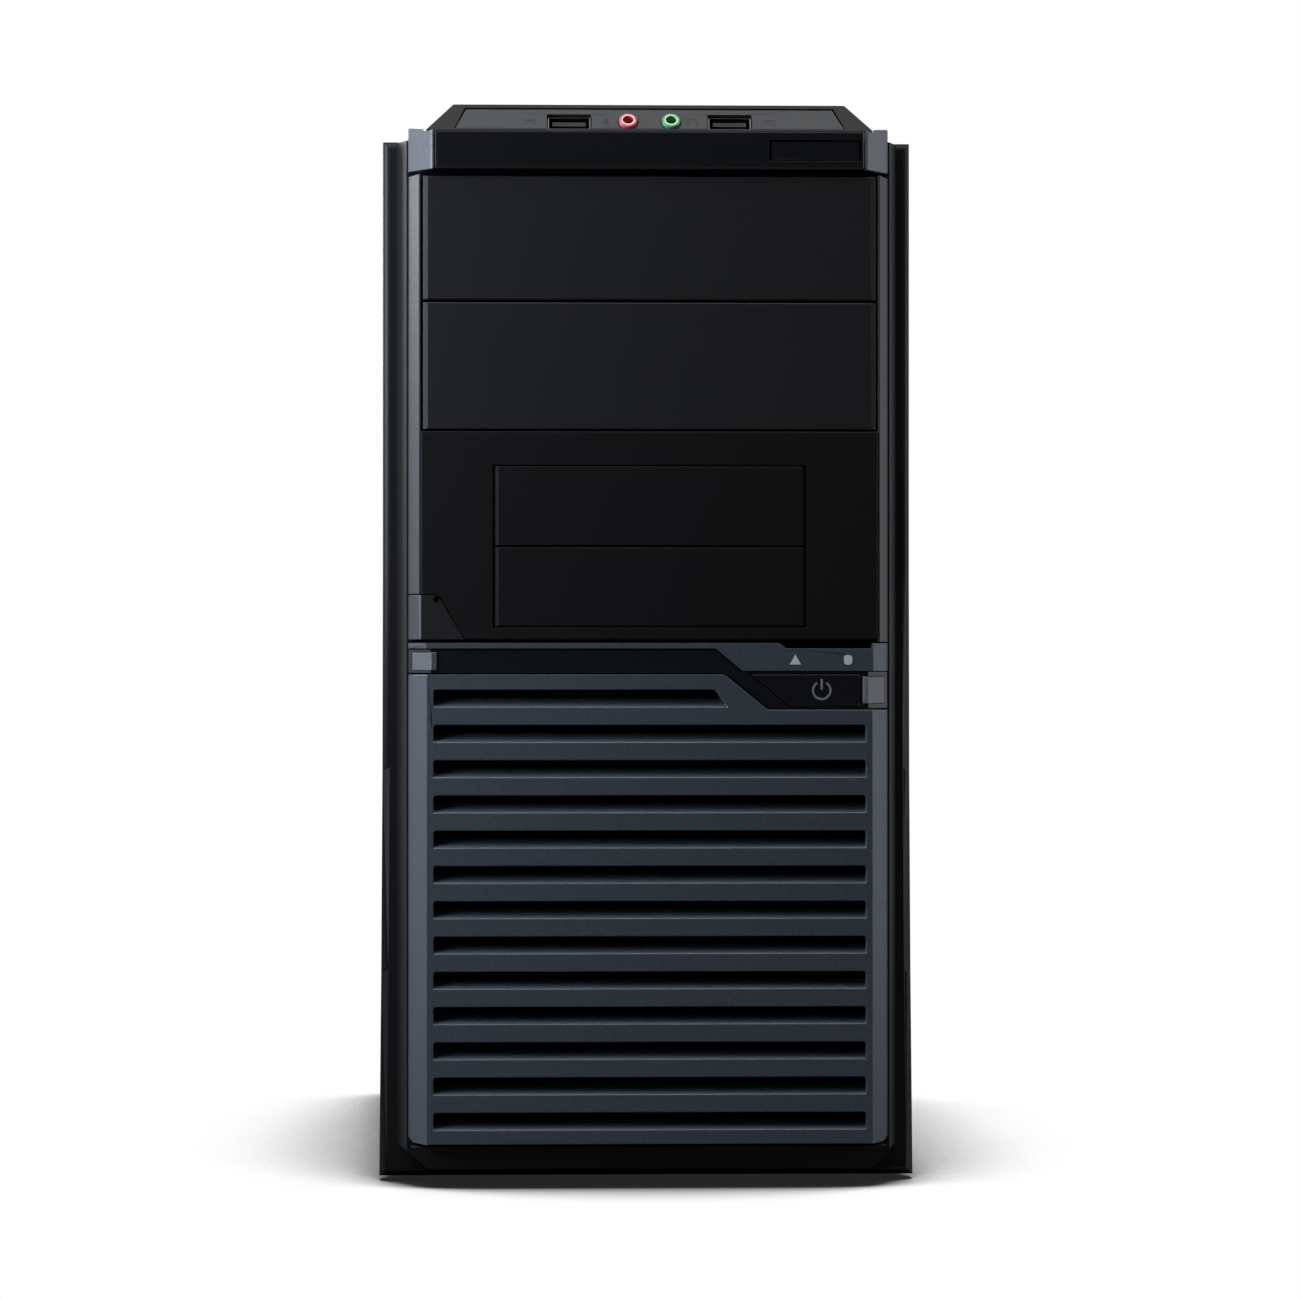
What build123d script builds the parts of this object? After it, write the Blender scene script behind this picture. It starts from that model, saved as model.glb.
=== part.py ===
"""Micro-tower desktop computer: moulded front bezel, folded-steel chassis and everything the case holds.

Frame: millimetres, +Z up, the front faces -Y, +X is to the right as seen from the front.
The origin is the centre of the footprint, on the surface that the rubber feet stand on.
Each function below makes one sub-part, and the last section writes every sub-part to parts/NODE.step.
"""
from math import cos, pi, radians, sin, sqrt, tan
import os

from build123d import *

# ---------------------------------------------------------------- driving dimensions
FRONT_Y = -201.5            # proudest front surface: header, centre strip and grille
REAR_Y = 201.5              # rear face of the thumbscrew heads
FOOT_H = 3.5                # gap between the surface and the bezel
FLANGE_HALF = 88.2          # half width of the bezel's rear flange
FLARE = 1.2                 # how far the flange spreads on each side at its foot
FLARE_TOP_Z = 205.0         # where that spread begins
FLANGE_TOP = 347.0
FLANGE_BOTTOM = 1.5
POD_TOP = 357.5             # crest of the port pod, the highest point
STEEL = 0.8                 # sheet thickness
WALL = 2.2                  # moulded wall thickness
GAP = 0.35                  # shadow gap between neighbouring mouldings

# front-to-back stations
FLANGE_Y = (-172.0, -162.0)
CARRIER_Y = (-187.0, -184.5)   # moulded plate that carries the front pieces
BAY_FACE_Y = -200.0
CHASSIS_FRONT_Y = -160.0
CHASSIS_REAR_Y = 191.0
PANEL_FRONT_Y = -161.0
PLATE_SEAM_Z = 178.0           # joint between the two sheets of the chassis front
GRIP_Y, GRIP_Z = 157.0, 288.0  # middle of the finger grip in each side panel

# chassis box
CHASSIS_HALF = 86.0
BASE_Z = 5.3
CHASSIS_TOP = 343.4
PANEL_HALF = 87.0

# drive bays
BAY525_HALF = 74.7
BAY1_Z = (292.6, 333.3)
BAY2_Z = (249.9, 291.7)
BAY35_HALF = 51.4
BAY35_LOWER_Z = (185.0, 211.1)
BAY35_UPPER_Z = (211.5, 237.8)
SURROUND_Z = (180.6, 249.3)
SURROUND_HALF = 75.4

# header and centre band
HEADER_Z = (335.7, 348.2)
HEADER_HALF = 71.2
EDGE_HALF = 79.7               # outer edge of every raked side face
BAND_TOP = 179.5
BAND_LINE = 177.7
BAND_MID = 170.0
BAND_LOW = 158.0
GRILLE_BOTTOM = 14.4

# intake grille
GRILLE_HALF = 73.5
SLOT_HALF = 71.3
SLOT_H = 5.7
SLOT_PITCH = 11.6
SLOT_COUNT = 13
SLOT_FIRST_Z = 158.4           # lower edge of the top slot
GRILLE_DEPTH = 6.0
LOUVRE_RISE = 3.1

# port pod on the top edge
SLOPE = radians(52.0)          # tilt of the port face above the horizontal
POD_Y0 = -200.2                # lower front edge of the port face
POD_Z0 = 348.4
POD_CREST_HALF = 64.6
POD_BACK_Y = -150.0
PORT_U = 4.0                   # port centres, measured up the port face
USB_X = 26.5
JACK_X = 7.1
JACK_BORE_R = 1.8
JACK_BORE_LENGTH = 14.0
JACK_LENGTH = 18.0             # rear jacks, bored right through

# mainboard, power supply and rear panel
BOARD_X = 73.5                 # component side of the mainboard
BOARD_T = 1.6
BOARD_Y = (CHASSIS_REAR_Y - 207.5, CHASSIS_REAR_Y - 2.5)
BOARD_Z = (7.6, 251.4)
TRAY_X = 80.0
PSU_X = (-72.0, 78.0)
PSU_Y = (CHASSIS_REAR_Y - STEEL - 140.0, CHASSIS_REAR_Y - STEEL)
PSU_Z = (256.2, 342.2)
PSU_FAN = (-22.0, 299.0)
SLOT_CARD_Z = 19.0             # lowest expansion slot
SLOT_CARD_PITCH = 20.32
SLOT_CARDS = 4
IO_X = (29.0, 73.4)
IO_Z = (93.2, 251.9)
REAR_FAN = (-20.5, 205.0)
REAR_FAN_Y = CHASSIS_REAR_Y - STEEL - 12.5   # middle of its depth
INLET_X = (27.5, 55.5)         # mains inlet
INLET_Z = (270.5, 291.5)
SELECT_X = (33.0, 50.0)        # voltage selector
SELECT_Z = (308.0, 317.0)
CPU_Y, CPU_Z = 92.0, 190.0     # middle of the processor on the mainboard
CPU_TOP = 6.5
DIMM_Y = (12.0, 24.0)
DIMM_Z = (104.0, 244.0)
COOLER_H = 26.0
THUMB_X = -79.5                # thumbscrews of the left panel
SCREW_X = 82.8                 # screws of the right panel
PANEL_SCREW_Z = (72.0, 288.0)
LEAD_HOLES = ((-58.0, 272.0, 5.0), (-66.0, 261.5, 3.4))   # x, z, radius of the supply's lead holes
EJECT_X = (39.7, 69.5)
EJECT_Z = (338.7, 344.9)
BADGE_TOP = 195.3
SKIRT_DEPTH = 6.0               # skirt behind a blank bay cover
LOOP_X, LOOP_Z = -63.75, 137.0  # padlock loop: middle of its ear
LOOP_OUT = 5.7                  # bore axis, out from the rear panel
LOOP_R = 3.5
LOOP_T = 1.5
LATCH_X = -44.0                 # hinge pin of the card clamp
LATCH_OUT = 3.0                 # pin axis, out from the rear panel
DISC_Y = -116.0                # middle of the optical drive's spindle


# ---------------------------------------------------------------- small helpers
def block(x0, x1, y0, y1, z0, z1):
    """Rectangular solid between two corners."""
    return Pos((x0 + x1) / 2, (y0 + y1) / 2, (z0 + z1) / 2) * Box(x1 - x0, y1 - y0, z1 - z0)


def outline(points):
    return make_face(Polyline(*points, close=True))


def prism_x(points, x0, x1):
    """Extrudes an outline given as (y, z) from x0 to x1."""
    plane = Plane(origin=(x0, 0, 0), x_dir=(0, 1, 0), z_dir=(1, 0, 0))
    return extrude(plane * outline(points), x1 - x0)


def prism_y(points, y0, y1):
    """Extrudes an outline given as (x, z) from y0 to y1."""
    return slab_y(outline(points), y0, y1)


def prism_z(points, z0, z1):
    """Extrudes an outline given as (x, y) from z0 to z1."""
    return extrude(Plane.XY.offset(z0) * outline(points), z1 - z0)


def slab_y(face, y0, y1):
    """Extrudes a sketch drawn in (x, z) from y0 to y1."""
    plane = Plane(origin=(0, y1, 0), x_dir=(1, 0, 0), z_dir=(0, -1, 0))
    return extrude(plane * face, y1 - y0)


def slab_x(face, x0, x1):
    """Extrudes a sketch drawn in (y, z) from x0 to x1."""
    plane = Plane(origin=(x0, 0, 0), x_dir=(0, 1, 0), z_dir=(1, 0, 0))
    return extrude(plane * face, x1 - x0)


def rod_y(x, z, r, y0, y1):
    return slab_y(Pos(x, z) * Circle(r), y0, y1)


def rod_x(y, z, r, x0, x1):
    return slab_x(Pos(y, z) * Circle(r), x0, x1)


def rounded_y(x0, x1, z0, z1, r, y0, y1):
    """Bar along Y with rounded corners in the front view."""
    face = Pos((x0 + x1) / 2, (z0 + z1) / 2) * RectangleRounded(x1 - x0, z1 - z0, r)
    return slab_y(face, y0, y1)


def joined(shapes):
    shapes = list(shapes)
    total = shapes[0]
    for shape in shapes[1:]:
        total += shape
    return total


def group(shapes):
    """Several separate solids in one node."""
    return Compound(children=[s for shape in shapes for s in shape.solids()])


def mirrored(shape):
    return mirror(shape, about=Plane.YZ)


def edges_along(shape, axis):
    return shape.edges().filter_by(axis)


def front_edges(shape, y):
    """Every edge that lies in the front plane at this y."""
    return shape.edges().filter_by_position(Axis.Y, y - 0.01, y + 0.01)


def hex_field(half_w, half_h, pitch, r, keep=None):
    """Sketch of hexagonal holes inside a rectangle, centred on the origin."""
    row_h = pitch * sqrt(3) / 2
    rows = int(half_h / row_h)
    columns = int(half_w / pitch)
    spots = []
    for j in range(-rows, rows + 1):
        for i in range(-columns, columns + 1):
            x = i * pitch + (pitch / 2 if j % 2 else 0)
            y = j * row_h
            if abs(x) <= half_w and (keep is None or keep(x, y)):
                spots.append(Pos(x, y) * RegularPolygon(r, 6, rotation=30))
    return Sketch() + spots


def raked(half_front, y_front, half_back=EDGE_HALF, y_back=CARRIER_Y[0]):
    """Envelope with raked side faces: every full-width front piece is cut to it."""
    points = [(-half_back, y_back), (-half_front, y_front), (half_front, y_front), (half_back, y_back)]
    return prism_z(points, 0, POD_TOP)


# ---------------------------------------------------------------- front bezel
def flange_outline(inset=0.0, bottom=FLANGE_BOTTOM):
    """Outline of the bezel's rear flange: upright sides that spread a little towards the foot."""
    top = FLANGE_TOP - inset
    side = FLANGE_HALF - inset
    foot = side + FLARE
    lines = [
        Line((-side, top), (side, top)),
        Line((side, top), (side, FLARE_TOP_Z)),
        TangentArc((side, FLARE_TOP_Z), (foot, bottom + inset), tangent=(0, -1)),
        Line((foot, bottom + inset), (-foot, bottom + inset)),
        TangentArc((-side, FLARE_TOP_Z), (-foot, bottom + inset), tangent=(0, -1)),
        Line((-side, FLARE_TOP_Z), (-side, top)),
    ]
    return make_face(Curve() + lines)


def body_outline(half, bottom, top, cut_x, cut_z):
    """Bezel body seen from the front, with its two lower corners cut off."""
    return [
        (-half, top), (half, top), (half, bottom + cut_z), (half - cut_x, bottom),
        (-half + cut_x, bottom), (-half, bottom + cut_z),
    ]


def lofted(outer_points, y_outer, inner_points, y_inner):
    """Straight-sided solid between two outlines at two depths."""
    def face(points, y):
        plane = Plane(origin=(0, y, 0), x_dir=(1, 0, 0), z_dir=(0, -1, 0))
        return plane * outline(points)
    return loft([face(outer_points, y_outer), face(inner_points, y_inner)], ruled=True)


def make_bezel_frame():
    """Main black moulding: rear flange, raked body and the carrier plate behind the front pieces."""
    flange = slab_y(flange_outline(), *FLANGE_Y)
    flange = fillet(front_edges(flange, FLANGE_Y[0]), 2.4)
    flange -= slab_y(flange_outline(2.4), FLANGE_Y[0] + 2.6, FLANGE_Y[1])
    flange -= block(-78, 78, FLANGE_Y[0] - 1, FLANGE_Y[0] + 3, 9, 340)
    body = lofted(body_outline(83.6, FOOT_H, FLANGE_TOP - 0.5, 10, 8.8), FLANGE_Y[0] + 0.5,
                  body_outline(80.2, 5.0, FLANGE_TOP - 1.0, 7.5, 6.4), CARRIER_Y[0])
    body -= lofted(body_outline(81.0, 6.3, FLANGE_TOP - 3.1, 9, 8), FLANGE_Y[0] + 0.6,
                   body_outline(77.8, 7.6, FLANGE_TOP - 3.4, 7, 6), CARRIER_Y[1])
    frame = flange + body
    lip = prism_y(body_outline(78.6, 6.2, 13.4, 5.5, 4.6), CARRIER_Y[0] - 11.0, CARRIER_Y[0])
    lip -= block(-75, 75, CARRIER_Y[0] - 8.6, CARRIER_Y[0] + 1, 8.4, 14)
    frame += lip
    openings = [
        block(-75.0, 75.0, -190, -180, BAY1_Z[0] - 0.6, BAY1_Z[1] + 1.2),
        block(-75.0, 75.0, -190, -180, BAY2_Z[0] + 1.0, BAY2_Z[1] - 0.6),
        block(-53.0, 53.0, -190, -180, BAY35_LOWER_Z[0] - 0.6, BAY35_UPPER_Z[1] + 0.6),
        block(-70.0, 70.0, -190, -180, 19.0, 152.0),
        block(38.0, 70.5, -190, -180, 156.0, 176.8),
        block(-48.0, 48.0, -190, FLANGE_Y[0] - 2, 336.5, POD_TOP),
    ]
    for opening in openings:
        frame -= opening
    return frame


def make_side_trim():
    """Raked bright strip beside the drive bays, on the right."""
    back = CARRIER_Y[0]
    front = BAY_FACE_Y + 0.6
    plan = [(EDGE_HALF, back), (76.1, front), (75.4, front), (75.4, front + 2.4), (EDGE_HALF - 3.0, back)]
    return prism_z(plan, SURROUND_Z[0] - 0.7, HEADER_Z[0] - 1.9)


def make_side_trim_left():
    strip = mirrored(make_side_trim())
    return strip - block(-90, -70, -210, -180, 0, BADGE_TOP + 0.4)


def badge_outline(grow=0.0):
    """Corner insert at the lower left of the bay surround, as seen from the front."""
    return [
        (-90, 178), (-59.6 + grow, 178), (-69.0 + grow, BADGE_TOP - 1.6 + grow),
        (-71.0 + grow, BADGE_TOP + grow), (-90, BADGE_TOP + grow),
    ]


def make_bay_surround():
    """Plate round the two small drive bays, notched for the corner insert."""
    y0 = BAY_FACE_Y
    plate = block(-SURROUND_HALF, SURROUND_HALF, y0, y0 + 2.6, *SURROUND_Z)
    plate = chamfer(front_edges(plate, y0), 0.35)
    rim = block(-SURROUND_HALF + 1, SURROUND_HALF - 1, y0 + 2.5, CARRIER_Y[0], SURROUND_Z[0] + 1,
                SURROUND_Z[1] - 1)
    rim -= block(-SURROUND_HALF + 3, SURROUND_HALF - 3, y0 + 2, CARRIER_Y[0] + 1, SURROUND_Z[0] + 3,
                 SURROUND_Z[1] - 3)
    window = block(-BAY35_HALF - GAP, BAY35_HALF + GAP, y0 - 1, CARRIER_Y[0] + 1,
                   BAY35_LOWER_Z[0] - GAP, BAY35_UPPER_Z[1] + GAP)
    collar = block(-BAY35_HALF - 2, BAY35_HALF + 2, y0 + 2.5, y0 + 8, BAY35_LOWER_Z[0] - 2,
                   BAY35_UPPER_Z[1] + 2)
    surround = plate + rim + collar
    surround -= window
    y_ledge = BAY_FACE_Y + SKIRT_DEPTH + 2.7
    ledge = block(-BAY35_HALF - 1, BAY35_HALF + 1, y_ledge, y_ledge + 1.0, BAY35_LOWER_Z[0] - 1,
                  BAY35_UPPER_Z[1] + 1)
    sights = ((BAY35_LOWER_Z[0] + 1.8, BAY35_LOWER_Z[1] - 1.6),
              (BAY35_UPPER_Z[0] + 1.6, BAY35_UPPER_Z[1] - 1.5))
    for z_low, z_high in sights:
        ledge -= block(-BAY35_HALF + 4.2, BAY35_HALF - 4.2, y_ledge - 1, y_ledge + 2, z_low, z_high)
        middle = (z_low + z_high) / 2
        ledge -= block(-BAY35_HALF + 1.4, BAY35_HALF - 1.4, y_ledge - 1, y_ledge + 2, middle - 6, middle + 6)
    surround += ledge
    surround -= prism_y(badge_outline(0.3), -210, CARRIER_Y[0] + 1)
    return surround


def make_corner_badge():
    """Corner insert: a flat face, the foot of the left bright strip, and a pin hole to lever it out."""
    front = BAY_FACE_Y
    plan = [(-EDGE_HALF, CARRIER_Y[0]), (-76.1, front + 0.6), (-75.3, front), (-50, front),
            (-50, front + 2.4), (-73.5, front + 2.4), (-76.6, CARRIER_Y[0])]
    insert = prism_z(plan, SURROUND_Z[0] + 0.1, BADGE_TOP)
    insert &= prism_y(badge_outline(), -210, -180)
    return insert - rod_y(-70.3, BADGE_TOP - 1.5, 1.0, -210, -190)


def make_bay_cover(z0, z1, half, skirt):
    """Snap-in bay cover: flat face with bevelled ends, and a skirt with two snap legs behind."""
    y0 = BAY_FACE_Y
    face = block(-half, half, y0, y0 + 2.4, z0, z1)
    for side in (-1, 1):
        bevel = [(side * (half - 1.6), y0), (side * half, y0 + 0.6), (side * (half + 1), y0 + 0.6),
                 (side * (half + 1), y0 - 1), (side * (half - 1.6), y0 - 1)]
        face -= prism_z(bevel, z0 - 1, z1 + 1)
    face = chamfer([e for e in front_edges(face, y0) if abs(e.center().X) < 1], 0.3)
    rim = block(-half + 0.8, half - 0.8, y0 + 2.3, y0 + 2.3 + skirt, z0 + 0.8, z1 - 0.8)
    rim -= block(-half + 2.8, half - 2.8, y0 + 2, y0 + 3 + skirt, z0 + 2.8, z1 - 2.8)
    return face + rim


def make_snap_cover(z0, z1, half):
    """Blank cover with a snap leg at each end that reaches back through the carrier plate."""
    cover = make_bay_cover(z0, z1, half, SKIRT_DEPTH)
    middle = (z0 + z1) / 2
    for side in (-1, 1):
        leg = block(side * (half - 2.8) - 0.9, side * (half - 2.8) + 0.9, BAY_FACE_Y + 7, -183.0,
                    middle - 5, middle + 5)
        barb = prism_z([(side * (half - 1.9), -184.2), (side * (half - 0.9), -184.2),
                        (side * (half - 1.9), -181.0), (side * (half - 3.7), -181.0),
                        (side * (half - 3.7), -184.2)], middle - 5, middle + 5)
        cover += leg + barb
    return cover


def make_header():
    """Gloss strip along the top edge, with an opening for the eject bar."""
    face = block(-HEADER_HALF + 0.2, HEADER_HALF - 0.2, FRONT_Y, FRONT_Y + 2.5, *HEADER_Z)
    face = chamfer(front_edges(face, FRONT_Y), 0.5)
    header = face
    for x0, x1 in ((-70.0, -50.0), (60.0, 70.0)):
        header += block(x0, x1, FRONT_Y + 2.4, CARRIER_Y[0], HEADER_Z[0] + 0.6, HEADER_Z[0] + 2.6)
    return header - block(EJECT_X[0] - GAP, EJECT_X[1] + GAP, -210, -180, EJECT_Z[0] - GAP,
                          EJECT_Z[1] + GAP)


def make_eject_bar():
    """Push bar that reaches down behind the tray cover to the drive's own eject key."""
    y0 = FRONT_Y + 0.3
    bar = block(*EJECT_X, y0, y0 + 3.2, *EJECT_Z)
    ends = [e for e in front_edges(bar, y0) if abs(e.center().X - sum(EJECT_X) / 2) > 5]
    bar = chamfer(ends, 1.2, 0.5)
    bar = fillet([e for e in front_edges(bar, y0) if abs(e.center().X - sum(EJECT_X) / 2) < 5], 0.4)
    stem = block(51, 57, y0 + 3.1, -190.8, 339.6, 342.6)
    arm = block(51, 57, -193.4, -190.8, 326.5, 342.6)
    return bar + stem + arm


def make_header_corner():
    """Bright raked block at the right end of the header."""
    plan = [(EDGE_HALF, CARRIER_Y[0]), (HEADER_HALF + 0.9, FRONT_Y + 0.3), (HEADER_HALF, FRONT_Y + 0.1),
            (HEADER_HALF, FRONT_Y + 3), (EDGE_HALF - 4.2, CARRIER_Y[0])]
    top = HEADER_Z[1] + 0.15
    corner = prism_z(plan, HEADER_Z[0] - 0.2, top + 2)
    corner &= prism_x([(-203, 330), (-203, top), (-186, top + 1.9), (-186, 330)], 0, 90)
    return corner - block(0, 74.6, -210, -180, top, top + 3)


def band_bar_outline():
    """Indicator bar: a thin line along the left that widens, past a slanted step, into a panel."""
    return [
        (-EDGE_HALF, BAND_TOP), (42.8, BAND_TOP), (45.0, BAND_LINE), (73.4, BAND_LINE),
        (73.4, BAND_TOP), (EDGE_HALF, BAND_TOP), (EDGE_HALF, BAND_MID + 0.3), (30.6, BAND_MID + 0.3),
        (21.8, BAND_LINE), (-EDGE_HALF, BAND_LINE),
    ]


def make_indicator_bar():
    bar = prism_y(band_bar_outline(), FRONT_Y + 0.6, FRONT_Y + 3.4)
    rim = prism_y([(23.6, BAND_LINE), (44, BAND_LINE), (73, BAND_LINE), (73, BAND_MID + 1.2),
                   (31.4, BAND_MID + 1.2)], FRONT_Y + 3.3, CARRIER_Y[0])
    rim -= prism_y([(28, 175.8), (71, 175.8), (71, 172.8), (32.5, 172.8)], FRONT_Y + 3, -180)
    ends = prism_y(band_bar_outline(), FRONT_Y + 3.3, CARRIER_Y[0])
    ends -= raked(GRILLE_HALF - 3.0, FRONT_Y, EDGE_HALF - 3.0)
    bar = (bar + rim + ends) & raked(GRILLE_HALF, FRONT_Y)
    bar -= prism_y([(45.9, 172.3), (50.1, 172.3), (48.0, 175.9)], -210, -180)
    bar -= rounded_y(63.9, 66.9, 172.2, 175.7, 1.2, -210, -180)
    return bar


def make_indicator_lenses():
    """Two clear light guides: a triangle for the network and a rounded bar for the disk."""
    triangle = prism_y([(46.1, 172.4), (49.9, 172.4), (48.0, 175.7)], FRONT_Y + 0.5, -183.5)
    pill = rounded_y(64.0, 66.8, 172.3, 175.6, 1.1, FRONT_Y + 0.5, -183.5)
    return [triangle, pill]


def centre_outline():
    """Gloss strip below the indicator bar; its right end steps down to the power key."""
    return [
        (-EDGE_HALF, BAND_LINE - GAP), (21.7, BAND_LINE - GAP), (30.5, BAND_MID),
        (EDGE_HALF, BAND_MID), (EDGE_HALF, BAND_LOW), (39.2, BAND_LOW), (24.9, BAND_MID - 0.4),
        (-EDGE_HALF, BAND_MID - 0.4),
    ]


def power_outline():
    """Power key seen from the front: its left edge follows the slant of the strip."""
    return [
        (33.6, BAND_MID - 0.9), (69.3, BAND_MID - 0.9), (69.3, BAND_LOW + 0.8), (46.4, BAND_LOW + 0.8),
    ]


def make_centre_strip():
    strip = prism_y(centre_outline(), FRONT_Y + 1.0, FRONT_Y + 3.6)
    ends = prism_y(centre_outline(), FRONT_Y + 3.5, CARRIER_Y[0])
    ends -= raked(HEADER_HALF - 3.0, FRONT_Y, EDGE_HALF - 3.4)
    strip = (strip + ends) & raked(HEADER_HALF + 0.6, FRONT_Y + 0.2)
    key_hole = offset(outline(power_outline()), GAP, kind=Kind.INTERSECTION)
    strip -= slab_y(key_hole, -210, -180)
    for pocket in make_centre_corner_blocks(0.12):
        strip -= pocket
    return strip


def make_centre_corner_blocks(grow=0.0):
    """Bright raked inlays at both ends of the gloss strip."""
    def inlay(z0, z1):
        plan = outline([(78.3, -190.0), (72.0, -201.4), (70.3, -201.0), (70.3, -198.8), (71.6, -198.8),
                        (76.4, -190.0)])
        if grow:
            plan = offset(plan, grow, kind=Kind.INTERSECTION)
        return extrude(Plane.XY.offset(z0 - grow) * plan, z1 - z0 + 2 * grow)
    return [mirrored(inlay(170.5, 176.4)), inlay(159.5, 168.4)]


def make_power_key():
    """Gloss key with a plunger that meets the switch on the board behind it."""
    y0 = FRONT_Y + 0.8
    key = prism_y(power_outline(), y0, y0 + 2.6)
    key = fillet(front_edges(key, y0), 0.25)
    plunger = rod_y(56.7, 163.9, 3.0, y0 + 2.5, -186.4)
    ribs = block(50, 63.5, y0 + 2.5, y0 + 5, 163.4, 164.4)
    return key + plunger + ribs


def make_power_board():
    """Small board with the power switch and the two indicator lamps."""
    board = block(36.0, 72.0, -183.0, -181.4, 155.0, 177.6)
    switch = block(53.2, 60.2, -184.8, -183.0, 160.4, 167.4)
    lamps = [rod_y(48.0, 174.0, 1.5, -183.4, -183.0), rod_y(65.4, 174.0, 1.5, -183.4, -183.0)]
    header = block(40.0, 47.0, -181.4, -175.0, 158.0, 163.0)
    return joined([board, switch, header] + lamps)


def slot_cutter(z0, x_right):
    """One louvre slot: full height at the front, with a floor that climbs towards the back."""
    y0 = FRONT_Y - 1
    y1 = FRONT_Y + GRILLE_DEPTH + 1
    climb = LOUVRE_RISE * (y1 - y0) / GRILLE_DEPTH
    profile = [(y0, z0 - LOUVRE_RISE / GRILLE_DEPTH), (y1, z0 - LOUVRE_RISE / GRILLE_DEPTH + climb),
               (y1, z0 + SLOT_H), (y0, z0 + SLOT_H)]
    return prism_x(profile, -SLOT_HALF, x_right) & rounded_y(-SLOT_HALF, x_right, z0 - 1, z0 + SLOT_H, 1.0,
                                                            y0, y1)


def make_grille():
    """Louvred intake moulding with raked side faces; its upper right corner steps down."""
    face = [
        (-EDGE_HALF, GRILLE_BOTTOM + 1.6), (-EDGE_HALF + 1.6, GRILLE_BOTTOM),
        (EDGE_HALF - 1.6, GRILLE_BOTTOM),
        (EDGE_HALF, GRILLE_BOTTOM + 1.6), (EDGE_HALF, BAND_LOW - 0.5), (39.0, BAND_LOW - 0.5),
        (24.7, BAND_MID - 0.9), (-EDGE_HALF, BAND_MID - 0.9),
    ]
    inner = [
        (-76.6, GRILLE_BOTTOM + 2.4), (76.6, GRILLE_BOTTOM + 2.4), (76.6, BAND_LOW - 2.9),
        (38.2, BAND_LOW - 2.9), (23.9, BAND_MID - 3.3), (-76.6, BAND_MID - 3.3),
    ]
    grille = prism_y(face, FRONT_Y, CARRIER_Y[0])
    grille -= prism_y(inner, FRONT_Y + GRILLE_DEPTH, CARRIER_Y[0] + 1) & raked(GRILLE_HALF - 2.4, FRONT_Y,
                                                                             EDGE_HALF - 2.6)
    grille &= raked(GRILLE_HALF, FRONT_Y)
    for k in range(1, SLOT_COUNT):
        grille -= slot_cutter(SLOT_FIRST_Z - k * SLOT_PITCH, SLOT_HALF)
    short = slot_cutter(SLOT_FIRST_Z, 26.0)
    z1 = SLOT_FIRST_Z + SLOT_H
    short -= prism_y([(21.3, z1), (27.5, z1 + 1), (27.5, SLOT_FIRST_Z - 2), (26.4, SLOT_FIRST_Z - 2),
                      (25.6, SLOT_FIRST_Z)], -210, -180)
    grille -= short
    return grille


# ---------------------------------------------------------------- port pod
def slope_y(z, inset=0.0):
    """Y of the port face, or of a face that far inside it, at height z."""
    return POD_Y0 + inset * sin(SLOPE) + (z - POD_Z0 + inset * cos(SLOPE)) / tan(SLOPE)


def pod_solid(inset, floor):
    """Pod body: port face in front, 45 degree flanks and a 45 degree tail."""
    top = POD_TOP - inset
    back = POD_BACK_Y - inset * sqrt(2)
    if inset:
        side = [(slope_y(floor, inset), floor), (slope_y(top, inset), top), (back + POD_TOP - top, top),
                (back + POD_TOP - floor, floor)]
    else:
        side = [(POD_Y0, POD_Z0), (slope_y(top), top), (back, top), (back + POD_TOP - 343.9, 343.9),
                (-161.5, 343.9), (-161.5, FLANGE_TOP), (CARRIER_Y[0], FLANGE_TOP), (CARRIER_Y[0], POD_Z0)]
    flank = POD_CREST_HALF + POD_TOP - inset * sqrt(2)
    front = [(-(flank - floor), floor), (-(flank - top), top), (flank - top, top), (flank - floor, floor)]
    return prism_x(side, -90, 90) & prism_y(front, -210, -100)


PORT_PLANE = Plane(origin=(0, POD_Y0, POD_Z0), x_dir=(1, 0, 0), z_dir=(0, -sin(SLOPE), cos(SLOPE)))


def on_port_face(face, out0, out1):
    """Extrudes a sketch drawn on the port face from out0 to out1 along its outward normal."""
    return extrude(PORT_PLANE.offset(out0) * face, out1 - out0)


def port_window(shrink=0.0):
    low, high = 64.5 - shrink, 60.9 - shrink
    bottom, top = 0.75 + shrink, 10.0 - shrink
    return outline([(-low, bottom), (low, bottom), (high, top), (-high, top)])


def make_port_pod():
    """Moulded pod over the front edge of the roof."""
    pod = pod_solid(0.0, 343.9)
    crest = [e for e in pod.edges() if abs(e.center().Z - POD_TOP) < 0.05]
    pod = fillet(crest, 1.1)
    pod -= pod_solid(WALL, 343.0)
    return pod - on_port_face(port_window(), -8, 3)


def make_port_plate():
    """Inset plate on the port face, pierced for the sockets."""
    plate = on_port_face(port_window(GAP), -2.4, -0.3)
    for side in (-1, 1):
        plate -= on_port_face(Pos(side * USB_X, PORT_U) * RectangleRounded(14.6, 6.8, 0.5), -9, 3)
        plate -= on_port_face(Pos(side * JACK_X, PORT_U) * Circle(3.35), -9, 3)
    return plate


def make_usb_socket(side):
    """USB receptacle: folded shell, open at the face, with its contact tongue."""
    centre = Pos(side * USB_X, PORT_U)
    shell = on_port_face(centre * RectangleRounded(14.2, 6.4, 0.6), -17.0, -1.4)
    shell -= on_port_face(centre * RectangleRounded(13.2, 5.4, 0.4), -16.4, 1)
    tongue = on_port_face(Pos(side * USB_X, PORT_U + 0.9) * Rectangle(11.1, 1.9), -16.4, -2.4)
    return shell + tongue


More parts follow.
